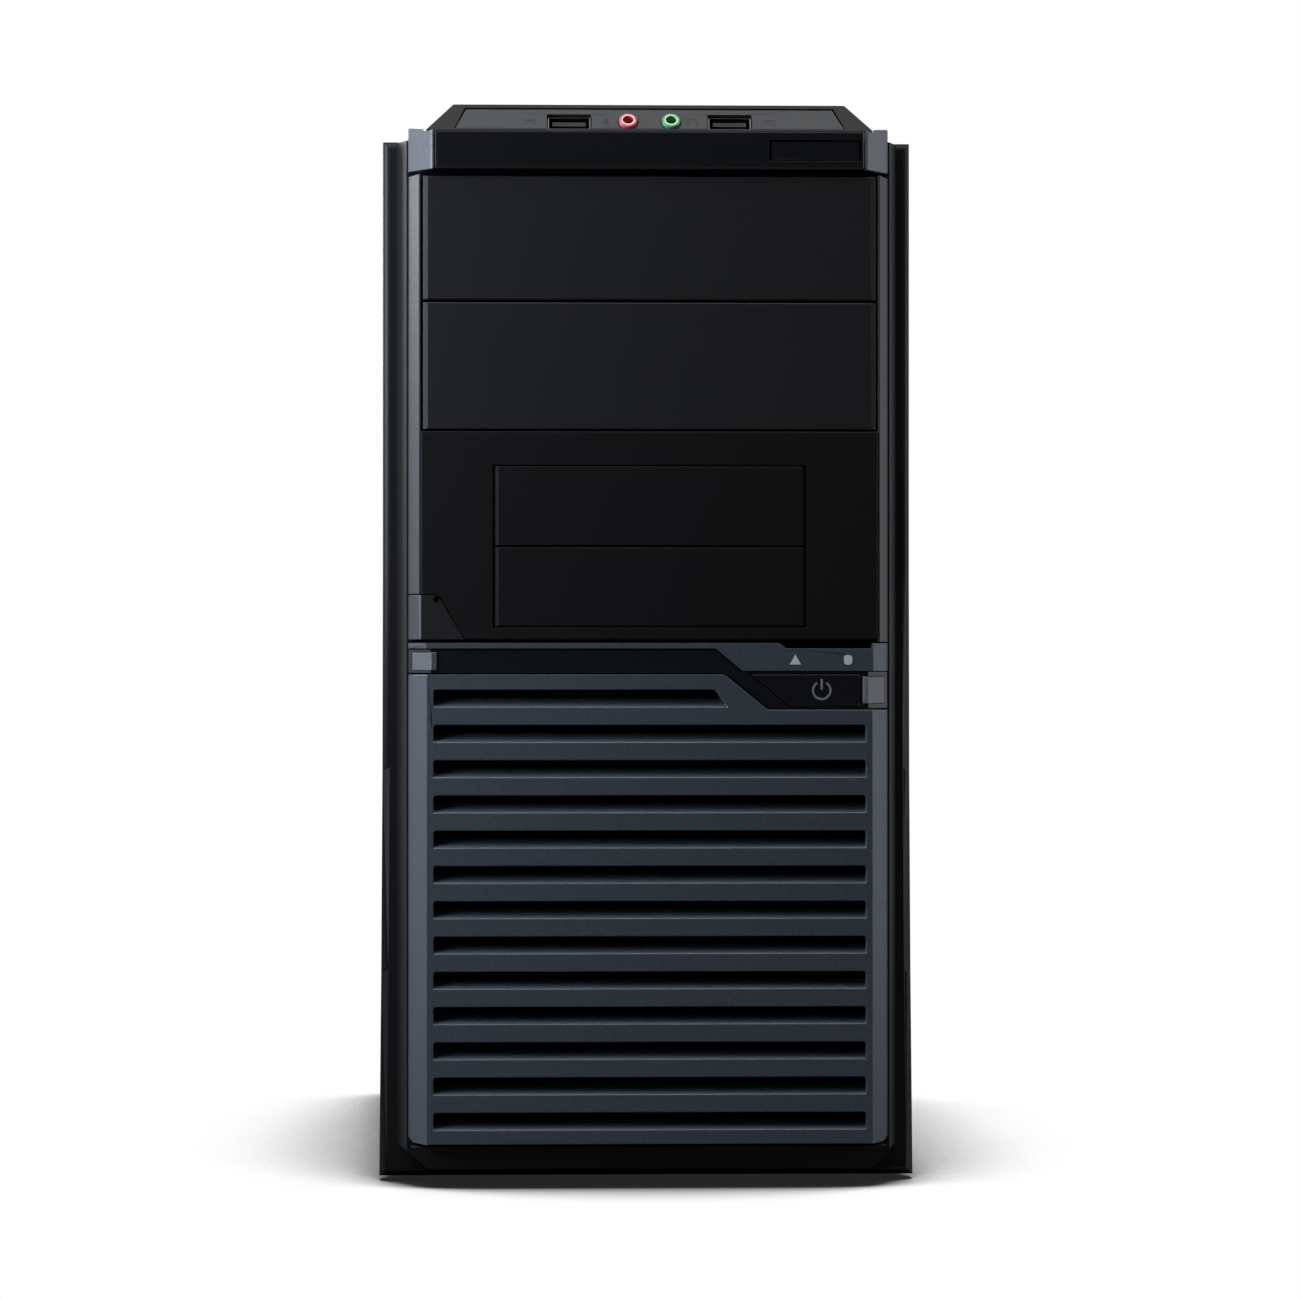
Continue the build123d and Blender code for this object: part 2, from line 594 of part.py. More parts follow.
def make_jack(side):
    """3.5 mm jack: coloured barrel with a blind bore, and its square housing."""
    centre = Pos(side * JACK_X, PORT_U)
    barrel = on_port_face(centre * Circle(3.1), -3.0, 0.9)
    rim = [e for e in barrel.edges() if e.geom_type == GeomType.CIRCLE]
    rim = max(rim, key=lambda e: e.center().Z)
    barrel = fillet([rim], 0.5)
    housing = on_port_face(Pos(side * JACK_X, PORT_U) * Rectangle(9.0, 8.2), -14.6, -2.9)
    bore = on_port_face(centre * Circle(JACK_BORE_R), 0.9 - JACK_BORE_LENGTH, 2)
    return barrel + housing - bore


def make_port_board():
    """Board that carries the front sockets, parallel to the plug direction."""
    board = on_port_face(Pos(-2.6, PORT_U - 5.2) * Rectangle(82.8, 1.6), -17.4, -4.4)
    header = on_port_face(Pos(-39.4, PORT_U - 2.5) * Rectangle(8.0, 4.0), -17.0, -9.0)
    return board + header


# ---------------------------------------------------------------- steel chassis
def screw_y(x, z, y_face, length=5.0, r=1.6, head_r=3.9, head_t=1.8, toward=1):
    """Pan-head screw along Y, with its head outside y_face and its shank going the other way."""
    head = rod_y(x, z, head_r, *sorted((y_face, y_face + toward * head_t)))
    shank = rod_y(x, z, r, *sorted((y_face, y_face - toward * length)))
    slot_y = sorted((y_face + toward * head_t / 2, y_face + toward * (head_t + 1)))
    cross = block(x - 2.4, x + 2.4, *slot_y, z - 0.45, z + 0.45)
    cross += block(x - 0.45, x + 0.45, *slot_y, z - 2.4, z + 2.4)
    return head + shank - cross


def make_front_plate():
    """Chassis front: a sheet with the drive windows, a perforated intake sheet, and two edge flanges."""
    y0, y1 = CHASSIS_FRONT_Y, CHASSIS_FRONT_Y + STEEL
    edge = CHASSIS_HALF - STEEL - 0.05
    upper = block(-edge, edge, y0, y1, PLATE_SEAM_Z + 0.05, CHASSIS_TOP - STEEL)
    upper -= block(-73.9, 73.9, y0 - 1, y1 + 1, 249.8, 334.2)
    upper -= block(-51.5, 51.5, y0 - 1, y1 + 1, 184.6, 238.2)
    lower = block(-edge, edge, y0, y1, BASE_Z + STEEL, PLATE_SEAM_Z)
    field = hex_field(46, 46, 9.0, 4.0, keep=lambda x, y: x * x + y * y < 46 * 46)
    lower -= slab_y(Pos(0, 74) * field, y0 - 1, y1 + 1)
    flange = block(CHASSIS_HALF - STEEL, CHASSIS_HALF, y0, y0 + 9, BASE_Z + STEEL, CHASSIS_TOP - STEEL)
    return [upper, lower] + both(flange)


def make_base_pan():
    """Floor of the chassis, with stiffening ribs and upturned edges front and rear."""
    pan = block(-CHASSIS_HALF, CHASSIS_HALF, CHASSIS_FRONT_Y, CHASSIS_REAR_Y, BASE_Z, BASE_Z + STEEL)
    for x in (-40.0, 0.0, 40.0):
        pan += block(x - 3, x + 3, -140, 170, BASE_Z + STEEL - 0.01, BASE_Z + STEEL + 1.2)
    return pan


def make_roof():
    """Top of the chassis."""
    under = CHASSIS_TOP - STEEL
    roof = block(-CHASSIS_HALF, CHASSIS_HALF, CHASSIS_FRONT_Y, CHASSIS_REAR_Y, under, CHASSIS_TOP)
    roof += block(-CHASSIS_HALF, -CHASSIS_HALF + STEEL, -150, 190, CHASSIS_TOP - 9, under + 0.01)
    return roof


def slot_centres():
    return [SLOT_CARD_Z + k * SLOT_CARD_PITCH for k in range(SLOT_CARDS)]


def make_rear_panel():
    """Chassis rear: windows for the power supply, sockets and cards, a fan grille, and screw holes."""
    y0, y1 = CHASSIS_REAR_Y - STEEL, CHASSIS_REAR_Y
    panel = block(-CHASSIS_HALF, CHASSIS_HALF, y0, y1, BASE_Z + STEEL, CHASSIS_TOP - STEEL)
    panel -= block(PSU_X[0] + 5, PSU_X[1] - 5, y0 - 1, y1 + 1, PSU_Z[0] + 5, PSU_Z[1] - 5)
    panel -= block(*IO_X, y0 - 1, y1 + 1, *IO_Z)
    for z in slot_centres():
        panel -= block(-31, 71, y0 - 1, y1 + 1, z - 6.4, z + 6.4)
    grille = hex_field(43, 43, 6.3, 2.9, keep=lambda x, y: 15 ** 2 < x * x + y * y < 42.5 ** 2)
    panel -= slab_y(Pos(*REAR_FAN) * grille, y0 - 1, y1 + 1)
    for x, z in fan_screw_spots():
        panel -= rod_y(x, z, 2.2, y0 - 1, y1 + 1)
    for x, z in psu_screw_spots():
        panel -= rod_y(x, z, 2.0, y0 - 1, y1 + 1)
    for z in PANEL_SCREW_Z:
        for x in (THUMB_X, SCREW_X):
            panel -= rod_y(x, z, 2.3, y0 - 1, y1 + 1)
    panel -= slab_y(Pos(-56, 112) * SlotOverall(7.0, 3.0, rotation=90), y0 - 1, y1 + 1)
    return panel + make_card_latch_pin()


def fan_screw_spots():
    return [(REAR_FAN[0] + i * 41.25, REAR_FAN[1] + j * 41.25) for i in (-1, 1) for j in (-1, 1)]


def psu_screw_spots():
    """Screw pattern of the standard power-supply face."""
    x0, z0 = PSU_X[0], PSU_Z[0]
    return [(x0 + 6.0, z0 + 80.0), (x0 + 144.0, z0 + 80.0), (x0 + 6.0, z0 + 6.0), (x0 + 120.0, z0 + 6.0)]


def make_mainboard_tray():
    """Inner right wall that the mainboard stands on, flanged to the rear panel."""
    tray = block(TRAY_X, TRAY_X + STEEL, -96, CHASSIS_REAR_Y - STEEL - 0.1, BASE_Z + STEEL,
                 CHASSIS_TOP - STEEL)
    tray += block(TRAY_X + STEEL, CHASSIS_HALF - STEEL - 0.3, -96, -95.2, BASE_Z + STEEL, CHASSIS_TOP - STEEL)
    return tray


def make_drive_cage():
    """Cage for the two large bays: two side plates and a shelf."""
    t = STEEL
    cage = block(-74.8, -74.8 + t, -159.2, -12, 254.5, CHASSIS_TOP - STEEL)
    cage += block(-74.8, -74.8 + t, -159.2, -60, 246.4, 254.6)
    cage += block(74.8 - t, 74.8, -159.2, -12, 254.5, CHASSIS_TOP - STEEL)
    cage += block(74.8 - t, 74.8, -159.2, -60, 246.4, 254.6)
    cage += block(-74.8, 74.8, -159.2, -60, 246.4, 246.4 + t)
    for y in (-140.0, -60.5):
        for z in (304.0, 268.0):
            for x in (-75.5, 73.5):
                cage -= rod_x(y, z, 2.0, x, x + 2.5)
    for side in (-1, 1):
        for y in (-120.0, -90.0):
            cage += block(*sorted((side * 71.0, side * 74.1)), y - 6, y + 6, 291.4, 292.2)
    return cage


def make_disk_cage():
    """Narrow cage below the large bays: the two small bays and the hard disk."""
    t = STEEL
    cage = block(-52.4, -52.4 + t, -159.2, -18, 132.0, 246.4)
    cage += block(52.4 - t, 52.4, -159.2, -18, 132.0, 246.4)
    cage += block(-52.4, 52.4, -159.2, -18, 132.0, 132.0 + t)
    for y in (-135.0, -95.0, -50.0):
        cage -= slab_x(Pos(y, 200) * SlotOverall(24, 5), -60, 60)
        cage -= rod_x(y, 139.4, 2.0, -60, 60)
    return cage


def vent_field():
    """Sketch of round-ended slots, used twice on each side panel."""
    rows = range(-4, 5)
    return Sketch() + [Pos(i * 27.0, j * 8.0) * SlotOverall(22.0, 3.4) for i in (-1, 0, 1) for j in rows]


def make_side_panel(vents, flange_x, screw_x):
    """Left side panel: a flat steel sheet folded round the roof and floor, with a rear flange."""
    outer, inner = -PANEL_HALF, -PANEL_HALF + STEEL
    rear = CHASSIS_REAR_Y + STEEL
    low, high = BASE_Z - STEEL, CHASSIS_TOP + STEEL
    sheet = block(outer, inner, PANEL_FRONT_Y, rear, low, high)
    sheet += block(outer, -77, PANEL_FRONT_Y, CHASSIS_REAR_Y - 1, low, low + STEEL - 0.05)
    sheet += block(outer, -77, POD_BACK_Y + 14.5, CHASSIS_REAR_Y - 1, high - STEEL + 0.05, high)
    sheet = fillet([e for e in edges_along(sheet, Axis.Y) if abs(e.center().X - outer) < 0.01], 0.7)
    sheet += block(outer + 0.7, -flange_x, CHASSIS_REAR_Y + 0.05, rear, low + 3, high - 3)
    for z in PANEL_SCREW_Z:
        sheet -= rod_y(-screw_x, z, 2.3, CHASSIS_REAR_Y - 1, CHASSIS_REAR_Y + 2)
    if vents:
        sheet -= slab_x(Pos(112, 196) * vent_field(), outer - 1, inner + 0.01)
        sheet -= slab_x(Pos(112, 62) * vent_field(), outer - 1, inner + 0.01)
    grip = Pos(GRIP_Y, GRIP_Z) * RectangleRounded(26, 74, 7)
    sheet -= slab_x(grip, outer - 1, inner + 0.01)
    pocket = slab_x(grip, outer + 0.02, outer + 5.0)
    pocket -= slab_x(offset(grip, -STEEL), outer - 1, outer + 4.2)
    return sheet + pocket


def make_thumbscrew(z):
    """Captive knurled thumbscrew that holds the left panel."""
    y0 = CHASSIS_REAR_Y + STEEL
    knurl = [Pos(5.2 * cos(k * pi / 12), 5.2 * sin(k * pi / 12)) * Circle(0.42) for k in range(24)]
    face = Circle(5.4) - (Sketch() + knurl)
    head = slab_y(Pos(THUMB_X, z) * face, y0 + 1.2, REAR_Y)
    head += rod_y(THUMB_X, z, 4.3, y0 + 0.1, y0 + 1.3)
    head -= block(THUMB_X - 3.4, THUMB_X + 3.4, REAR_Y - 1.2, REAR_Y + 1, z - 0.6, z + 0.6)
    shank = rod_y(THUMB_X, z, 1.75, CHASSIS_REAR_Y - 8, y0 + 0.2)
    return head + shank


def make_right_screws():
    return [screw_y(SCREW_X, z, CHASSIS_REAR_Y + STEEL) for z in PANEL_SCREW_Z]


def make_lock_loop():
    """Folded steel loop for a padlock, on the rear panel beside the access panel."""
    y0 = CHASSIS_REAR_Y
    foot = block(-70, -58, y0, y0 + 1.0, 126, 148)
    ear = block(LOOP_X - LOOP_T / 2, LOOP_X + LOOP_T / 2, y0 + 0.9, REAR_Y, 128, 146)
    ear = fillet([e for e in edges_along(ear, Axis.X) if e.center().Y > REAR_Y - 0.1], 4.0)
    ear -= rod_x(y0 + LOOP_OUT, LOOP_Z, LOOP_R, -70, -60)
    return foot + ear


def make_feet():
    """Four rubber feet."""
    def foot(x, y):
        body = Pos(x, y, BASE_Z / 2) * Cone(9.0, 10.2, BASE_Z)
        body -= Pos(x, y, 0.4) * Cylinder(3.0, 0.9)
        return body
    return [foot(x, y) for x in (-62, 62) for y in (-142, 168)]


# ---------------------------------------------------------------- optical drive
def make_optical_case():
    """Steel case of the optical drive with the deck that the tray slides over."""
    case = block(-73.0, 73.0, -184, -16, 292.8, 333.2)
    case -= block(-72.2, 72.2, -185, -16.8, 293.6, 332.4)
    deck = block(-72.2, 72.2, -183, -17, 302.6, 303.8)
    hub = Pos(0, DISC_Y, 304.6) * Cylinder(8.5, 2.2)
    return case + deck + hub


def make_optical_face():
    """Black front of the drive with its tray mouth and eject key."""
    face = block(-73.9, 73.9, -186, -184, 292.6, 333.4)
    face -= block(-65.2, 65.2, -187, -183, 304.2, 315.8)
    return face + block(50.5, 57.5, -189.1, -185.9, 326.8, 330.4)


def make_optical_tray():
    """Disc tray with stepped recesses, open at the back for the spindle, and a link to its cover."""
    tray = block(-64.0, 64.0, -186.5, -26, 304.9, 312.9)
    tray -= Pos(0, DISC_Y, 311.9) * Cylinder(60.5, 2.1)
    tray -= Pos(0, DISC_Y, 310.4) * Cylinder(40.5, 2.1)
    tray -= block(-19, 19, DISC_Y, -25, 300, 320)
    tray -= Pos(0, DISC_Y, 308) * Cylinder(19, 20)
    tray += block(-60.0, 60.0, BAY_FACE_Y + 2.4, -186.4, 305.4, 312.4)
    return tray


# ---------------------------------------------------------------- fans
def fan_rotor(radius, hub, depth, blades, pitch_deg):
    """Fan rotor about the local Z axis: a cupped hub with tilted blades."""
    core = fillet(Cylinder(hub, depth).faces().sort_by(Axis.Z)[-1].edges(), 1.2)
    chord = depth * 1.15
    blade = Pos((hub + radius) / 2 - 0.4, 0, 0) * Rot(pitch_deg, 0, 0) * Box(radius - hub + 0.8, 1.3, chord)
    limit = Cylinder(radius, depth)
    return core + joined([(Rot(0, 0, 360 / blades * k) * blade) & limit for k in range(blades)])


def square_fan_frame(size, depth, bore, spacing, stator):
    """Square fan housing about the local Z axis, with four struts and a motor plate."""
    frame = extrude(RectangleRounded(size, size, 4), depth / 2, both=True) - Cylinder(bore, depth * 2)
    for i in (-1, 1):
        for j in (-1, 1):
            frame -= Pos(i * spacing / 2, j * spacing / 2) * Cylinder(2.15, depth * 2)
    low = -depth / 2
    frame += Pos(0, 0, low + 1.0) * Cylinder(stator, 2.0)
    for k in range(4):
        strut = Pos((bore + stator) / 2, 0, low + 1.0) * Box(bore - stator + 2, 2.6, 2.0)
        frame += Rot(0, 0, 45 + 90 * k) * strut
    return frame


def facing_rear(shape, x, y, z):
    """Turns a shape made about Z to point its +Z end towards the front, and places it."""
    return Pos(x, y, z) * Rot(90, 0, 0) * shape


def make_rear_fan_frame():
    return facing_rear(square_fan_frame(92, 24.9, 44.5, 82.5, 18), REAR_FAN[0], REAR_FAN_Y, REAR_FAN[1])


def make_rear_fan_rotor():
    return facing_rear(fan_rotor(43.0, 18.5, 19.0, 7, 38), REAR_FAN[0], REAR_FAN_Y - 1.2, REAR_FAN[1])


def make_fan_screws():
    y0 = CHASSIS_REAR_Y
    return [screw_y(x, z, y0, length=8, r=2.0) for x, z in fan_screw_spots()]


# ---------------------------------------------------------------- power supply
def make_psu_case():
    """Power-supply housing: a thin steel box with a fan grille at the back and vents at the front."""
    t = STEEL
    case = block(*PSU_X, *PSU_Y, *PSU_Z)
    case -= block(PSU_X[0] + t, PSU_X[1] - t, PSU_Y[0] + t, PSU_Y[1] - t, PSU_Z[0] + t, PSU_Z[1] - t)
    grille = hex_field(36, 36, 6.3, 2.9, keep=lambda x, y: x * x + y * y < 36.5 ** 2)
    case -= slab_y(Pos(*PSU_FAN) * grille, PSU_Y[1] - 2, PSU_Y[1] + 1)
    case -= block(*INLET_X, PSU_Y[1] - 2, PSU_Y[1] + 1, *INLET_Z)
    case -= block(*SELECT_X, PSU_Y[1] - 2, PSU_Y[1] + 1, *SELECT_Z)
    vents = Sketch() + [Pos(k * 8.0, 0) * SlotOverall(40, 4, rotation=90) for k in range(-7, 8)]
    case -= slab_y(Pos(0, 300) * vents, PSU_Y[0] - 1, PSU_Y[0] + 2)
    for x, z in psu_screw_spots():
        case -= rod_y(x, z, 1.75, PSU_Y[1] - 2, PSU_Y[1] + 1)
    for x, z, r in LEAD_HOLES:
        case -= rod_y(x, z, r, PSU_Y[0] - 1, PSU_Y[0] + 2)
    return case




def make_power_inlet():
    """Mains inlet: an open well with three blades."""
    x0, x1 = INLET_X
    z0, z1 = INLET_Z
    y1 = CHASSIS_REAR_Y + 0.6
    cx, cz = (x0 + x1) / 2, (z0 + z1) / 2
    body = block(x0 + 0.2, x1 - 0.2, y1 - 22, y1, z0 + 0.2, z1 - 0.2)
    rim = rounded_y(x0 - 2.2, x1 + 2.2, z0 - 2.2, z1 + 2.2, 2.0, CHASSIS_REAR_Y - 0.75, y1)
    hw, hh, cut = 12.0, 8.0, 4.6
    mouth = [(cx - hw, cz - hh), (cx + hw, cz - hh), (cx + hw, cz + hh - cut), (cx + hw - cut, cz + hh),
             (cx - hw + cut, cz + hh), (cx - hw, cz + hh - cut)]
    inlet = body + rim - prism_y(mouth, y1 - 17, y1 + 1)
    for dx, dz in ((-7.0, -1.0), (7.0, -1.0), (0.0, 3.2)):
        inlet += block(cx + dx - 1.0, cx + dx + 1.0, y1 - 17.2, y1 - 3, cz + dz - 2.0, cz + dz + 2.0)
    return inlet


def make_selector_body():
    """Housing of the voltage selector, with a recess for its slider."""
    x0, x1 = SELECT_X
    z0, z1 = SELECT_Z
    y1 = CHASSIS_REAR_Y - STEEL
    body = block(x0 + 0.2, x1 - 0.2, y1 - 9, y1, z0 + 0.2, z1 - 0.2)
    return body - block(x0 + 1.8, x1 - 1.8, y1 - 5, y1 + 1, z0 + 1.8, z1 - 1.8)


def make_selector_slider():
    """Red slider of the voltage selector, at the left of its travel."""
    x0, _ = SELECT_X
    z0, z1 = SELECT_Z
    y1 = CHASSIS_REAR_Y - STEEL
    slider = block(x0 + 2.0, x0 + 9.0, y1 - 4.8, y1 - 0.6, z0 + 2.0, z1 - 2.0)
    return slider - block(x0 + 4.6, x0 + 6.4, y1 - 1.6, y1, z0 + 1, z1 - 1)


def make_psu_core():
    """Circuit of the power supply: board, two heat sinks, transformer and capacitors."""
    x0, x1 = PSU_X[0] + 4, PSU_X[1] - 4
    z0 = PSU_Z[0] + 8
    board = block(x0, x1, 58, 160, z0, z0 + 1.6)
    sinks = [block(x0 + x, x0 + x + 4, 66, 150, z0 + 1.6, z0 + 56) for x in (26, 92)]
    transformer = block(x0 + 42, x0 + 80, 84, 122, z0 + 1.6, z0 + 38)
    cans = [Pos(x0 + 112, y, z0 + 1.6 + 17) * Cylinder(11, 34) for y in (84, 110, 136)]
    return joined([board] + sinks + [transformer] + cans)


def make_psu_fan_frame():
    y = PSU_Y[1] - STEEL - 12.6
    return facing_rear(square_fan_frame(80, 24.9, 38.2, 71.5, 16), PSU_FAN[0], y, PSU_FAN[1])


def make_psu_fan_rotor():
    y = PSU_Y[1] - STEEL - 13.8
    return facing_rear(fan_rotor(36.6, 16.5, 19.0, 7, 38), PSU_FAN[0], y, PSU_FAN[1])


def make_psu_screws():
    return [screw_y(x, z, CHASSIS_REAR_Y, r=1.7) for x, z in psu_screw_spots()]


# ---------------------------------------------------------------- mainboard
def chip(y0, y1, z0, z1, height):
    """Component standing that far off the mainboard's face."""
    return block(BOARD_X - height, BOARD_X, y0, y1, z0, z1)


def standoff_spots():
    return [(y, z) for y in (-7.0, 75.0, 171.5) for z in (14.0, 130.0, 244.0)]


def make_mainboard():
    """Circuit board with its chips, coils and fixed headers."""
    board = block(BOARD_X, BOARD_X + BOARD_T, *BOARD_Y, *BOARD_Z)
    for y, z in standoff_spots():
        board -= rod_x(y, z, 1.9, BOARD_X - 1, BOARD_X + 3)
    pieces = [board]
    pieces.append(chip(44, 80, 94, 124, 9.0))                           # chipset heat sink
    for k in range(5):
        y0 = 150 + 12 * (k % 2)
        pieces.append(chip(y0, y0 + 8, 160 + 14 * k, 170 + 14 * k, 8.0))
    pieces += [rod_x(140, 150 + 13 * k, 4.0, BOARD_X - 12, BOARD_X) for k in range(3)]
    pieces += [chip(-2, 20, 20 + 16 * k, 32 + 16 * k, 8.5) for k in range(4)]   # disk sockets
    pieces.append(chip(-11, -2, 150, 202, 12.0))                        # main power socket
    pieces.append(chip(150, 160, 236, 246, 12.0))                       # processor power socket
    pieces.append(rod_x(40, 84, 10.0, BOARD_X - 3.2, BOARD_X))          # clock cell
    pieces.append(chip(CPU_Y - 26, CPU_Y + 26, CPU_Z - 26, CPU_Z + 26, 4.0))    # processor socket
    pieces.append(chip(CPU_Y - 17, CPU_Y + 17, CPU_Z - 17, CPU_Z + 17, CPU_TOP))
    return joined(pieces)


def make_board_fixings():
    """Pillars between the tray and the board, and the screws that hold the board on them."""
    pillars = [rod_x(y, z, 3.0, BOARD_X + BOARD_T, TRAY_X) for y, z in standoff_spots()]
    heads = [rod_x(y, z, 3.0, BOARD_X - 1.9, BOARD_X) for y, z in standoff_spots()]
    shanks = [rod_x(y, z, 1.5, BOARD_X - 0.1, BOARD_X + BOARD_T + 0.1) for y, z in standoff_spots()]
    return [joined(three) for three in zip(pillars, heads, shanks)]


def make_cooler():
    """Aluminium heat sink: a round core with radial fins."""
    base = BOARD_X - CPU_TOP
    fins = [Rot(0, 0, 10 * k) * Pos(27, 0) * Rectangle(34, 0.9) for k in range(36)]
    return slab_x(Pos(CPU_Y, CPU_Z) * (Circle(14) + fins), base - COOLER_H, base)


def make_cooler_fan_frame():
    """Ring that holds the cooler fan, with four legs that reach the board."""
    x1 = BOARD_X - CPU_TOP - COOLER_H
    ring = rod_x(CPU_Y, CPU_Z, 46.0, x1 - 16, x1) - rod_x(CPU_Y, CPU_Z, 43.6, x1 - 20, x1 + 5)
    ring += rod_x(CPU_Y, CPU_Z, 15, x1 - 16, x1 - 14)
    for k in range(4):
        angle = 45 + 90 * k
        strut = Rot(0, 0, angle) * Pos(29.5, 0) * Rectangle(31, 2.4)
        ring += slab_x(Pos(CPU_Y, CPU_Z) * strut, x1 - 16, x1 - 14)
        ear = Rot(0, 0, angle) * (Pos(49, 0) * Rectangle(9, 8) + Pos(53, 0) * Circle(4))
        ring += slab_x(Pos(CPU_Y, CPU_Z) * ear, x1 - 6, x1 - 2)
        post_y = CPU_Y + 53 * cos(radians(angle))
        post_z = CPU_Z + 53 * sin(radians(angle))
        ring += rod_x(post_y, post_z, 3.2, x1 - 6, BOARD_X)
    return ring


def make_cooler_rotor():
    x1 = BOARD_X - CPU_TOP - COOLER_H
    rotor = fan_rotor(42.0, 17.0, 10.5, 7, 40)
    return Pos(x1 - 7.0, CPU_Y, CPU_Z) * Rot(0, 90, 0) * rotor


def make_memory_sockets():
    """Two long sockets, each with a fixed post at its lower end."""
    sockets = []
    for y in DIMM_Y:
        body = chip(y - 3.2, y + 3.2, DIMM_Z[0], DIMM_Z[1], 7.0)
        body -= block(BOARD_X - 8, BOARD_X - 2.5, y - 0.85, y + 0.85, DIMM_Z[0] + 3.0, DIMM_Z[1] - 3.0)
        sockets.append(body + chip(y - 2.6, y + 2.6, DIMM_Z[0] - 4, DIMM_Z[0] + 2.9, 20.0))
    return sockets


def make_memory_module(y):
    """Memory module: a thin card with eight packages and its edge in the socket."""
    card = block(BOARD_X - 32.6, BOARD_X - 2.6, y - 0.6, y + 0.6, DIMM_Z[0] + 3.4, DIMM_Z[0] + 136.6)
    packs = [block(BOARD_X - 24, BOARD_X - 12, y - 1.6, y - 0.55, DIMM_Z[0] + 9 + 15.6 * k,
                   DIMM_Z[0] + 18 + 15.6 * k) for k in range(8)]
    return joined([card] + packs)


def make_memory_latch(y):
    """Pivoting latch at the upper end of a memory socket; it turns about (BOARD_X - 3.2, DIMM_Z[1] + 3)."""
    points = [(1.0, 1.6), (1.0, 4.4), (16.0, 5.2), (23.0, 9.0), (24.6, 9.0), (21.0, 1.6), (12.0, 0.4)]
    return prism_y([(BOARD_X - out, DIMM_Z[1] + up) for out, up in points], y - 2.6, y + 2.6)


def make_card_sockets():
    """Expansion sockets: one long and three short."""
    sockets = []
    for k, z in enumerate(slot_centres()):
        length = 89.0 if k == 3 else 25.0 if k == 2 else 85.0
        body = chip(168 - length, 168, z - 3.6, z + 3.6, 11.0)
        body -= block(BOARD_X - 12, BOARD_X - 3, 171 - length, 165, z - 0.9, z + 0.9)
        sockets.append(body)
    return sockets


def make_slot_covers():
    """Four blank brackets behind the card windows, each with a row of round vents."""
    covers = []
    for z in slot_centres():
        y1 = CHASSIS_REAR_Y - STEEL
        plate = block(-37, 74.2, y1 - 0.9, y1 - 0.02, z - 9.2, z + 9.2)
        plate -= slab_y(Pos(20, z) * (Sketch() + [Pos(8.5 * k, 0) * Circle(2.2) for k in range(-4, 5)]),
                        y1 - 3, y1 + 1)
        covers.append(plate)
    return covers


def make_card_latch():
    """Hinged bar outside the rear panel that clamps the card brackets."""
    y0 = CHASSIS_REAR_Y + 0.4
    z0, z1 = latch_span()
    middle = (z0 + z1) / 2
    pin = Pos(LATCH_X, CHASSIS_REAR_Y + LATCH_OUT, middle)
    bar = block(LATCH_X + 3.4, LATCH_X + 12.5, y0, y0 + 2.2, z0, z1)
    bar = fillet(edges_along(bar, Axis.Z), 0.6)
    web = block(LATCH_X, LATCH_X + 4, y0 + 0.2, y0 + 2.2, z0 + 6.5, z1 - 6.5)
    tab = block(LATCH_X + 9, LATCH_X + 12.5, y0 + 2.1, y0 + 6.0, middle - 7, middle + 7)
    latch = bar + web + tab + pin * Cylinder(2.5, z1 - z0 - 13)
    return latch - pin * Cylinder(1.06, z1 - z0 + 10)


def latch_span():
    """Lower and upper end of the card clamp."""
    return slot_centres()[0] - 8.5, slot_centres()[-1] + 8.5


def make_card_latch_pin():
    """Hinge pin of the card clamp, in two ears on the rear panel."""
    y0 = CHASSIS_REAR_Y - 0.4
    z0, z1 = latch_span()
    pin = Pos(LATCH_X, CHASSIS_REAR_Y + LATCH_OUT, (z0 + z1) / 2) * Cylinder(1.0, z1 - z0)
    ears = [block(LATCH_X - 3.0, LATCH_X + 0.6, y0, y0 + 6.0, z - 2.2, z + 2.2) for z in (z0 + 2.4, z1 - 2.4)]
    return joined([pin] + ears)


def make_io_shield():
    """Thin plate round the mainboard's sockets."""
    y0 = CHASSIS_REAR_Y - STEEL
    x0, x1 = IO_X
    z0, z1 = IO_Z
    plate = block(x0 + 0.1, x1 - 0.1, y0 - 0.5, y0 + 0.5, z0 + 0.1, z1 - 0.1)
    plate += block(x0 - 2.0, x1, y0 - 0.5, y0 - 0.02, z0 - 2.0, z1 + 2.0)
    for x_low, x_high, z_low, z_high in io_windows():
        plate -= block(x_low - 0.25, x_high + 0.25, y0 - 2, y0 + 2, z_low - 0.25, z_high + 0.25)
    for x, z in audio_spots():
        plate -= rod_y(x, z, 4.4, y0 - 2, y0 + 2)
    return plate


def io_windows():
    """Windows in the shield for the square sockets: x, x, z, z."""
    return [
        (55.0, 71.5, 226.0, 240.0),     # keyboard and mouse
        (57.5, 71.5, 206.0, 222.0),     # two USB
        (60.0, 71.5, 170.0, 202.0),     # analogue video
        (60.5, 71.5, 137.0, 166.0),     # digital video
        (43.5, 71.5, 118.5, 134.5),     # network over two USB
    ]


def audio_spots():
    return [(66.0, 106.5), (54.0, 106.5), (42.0, 106.5)]


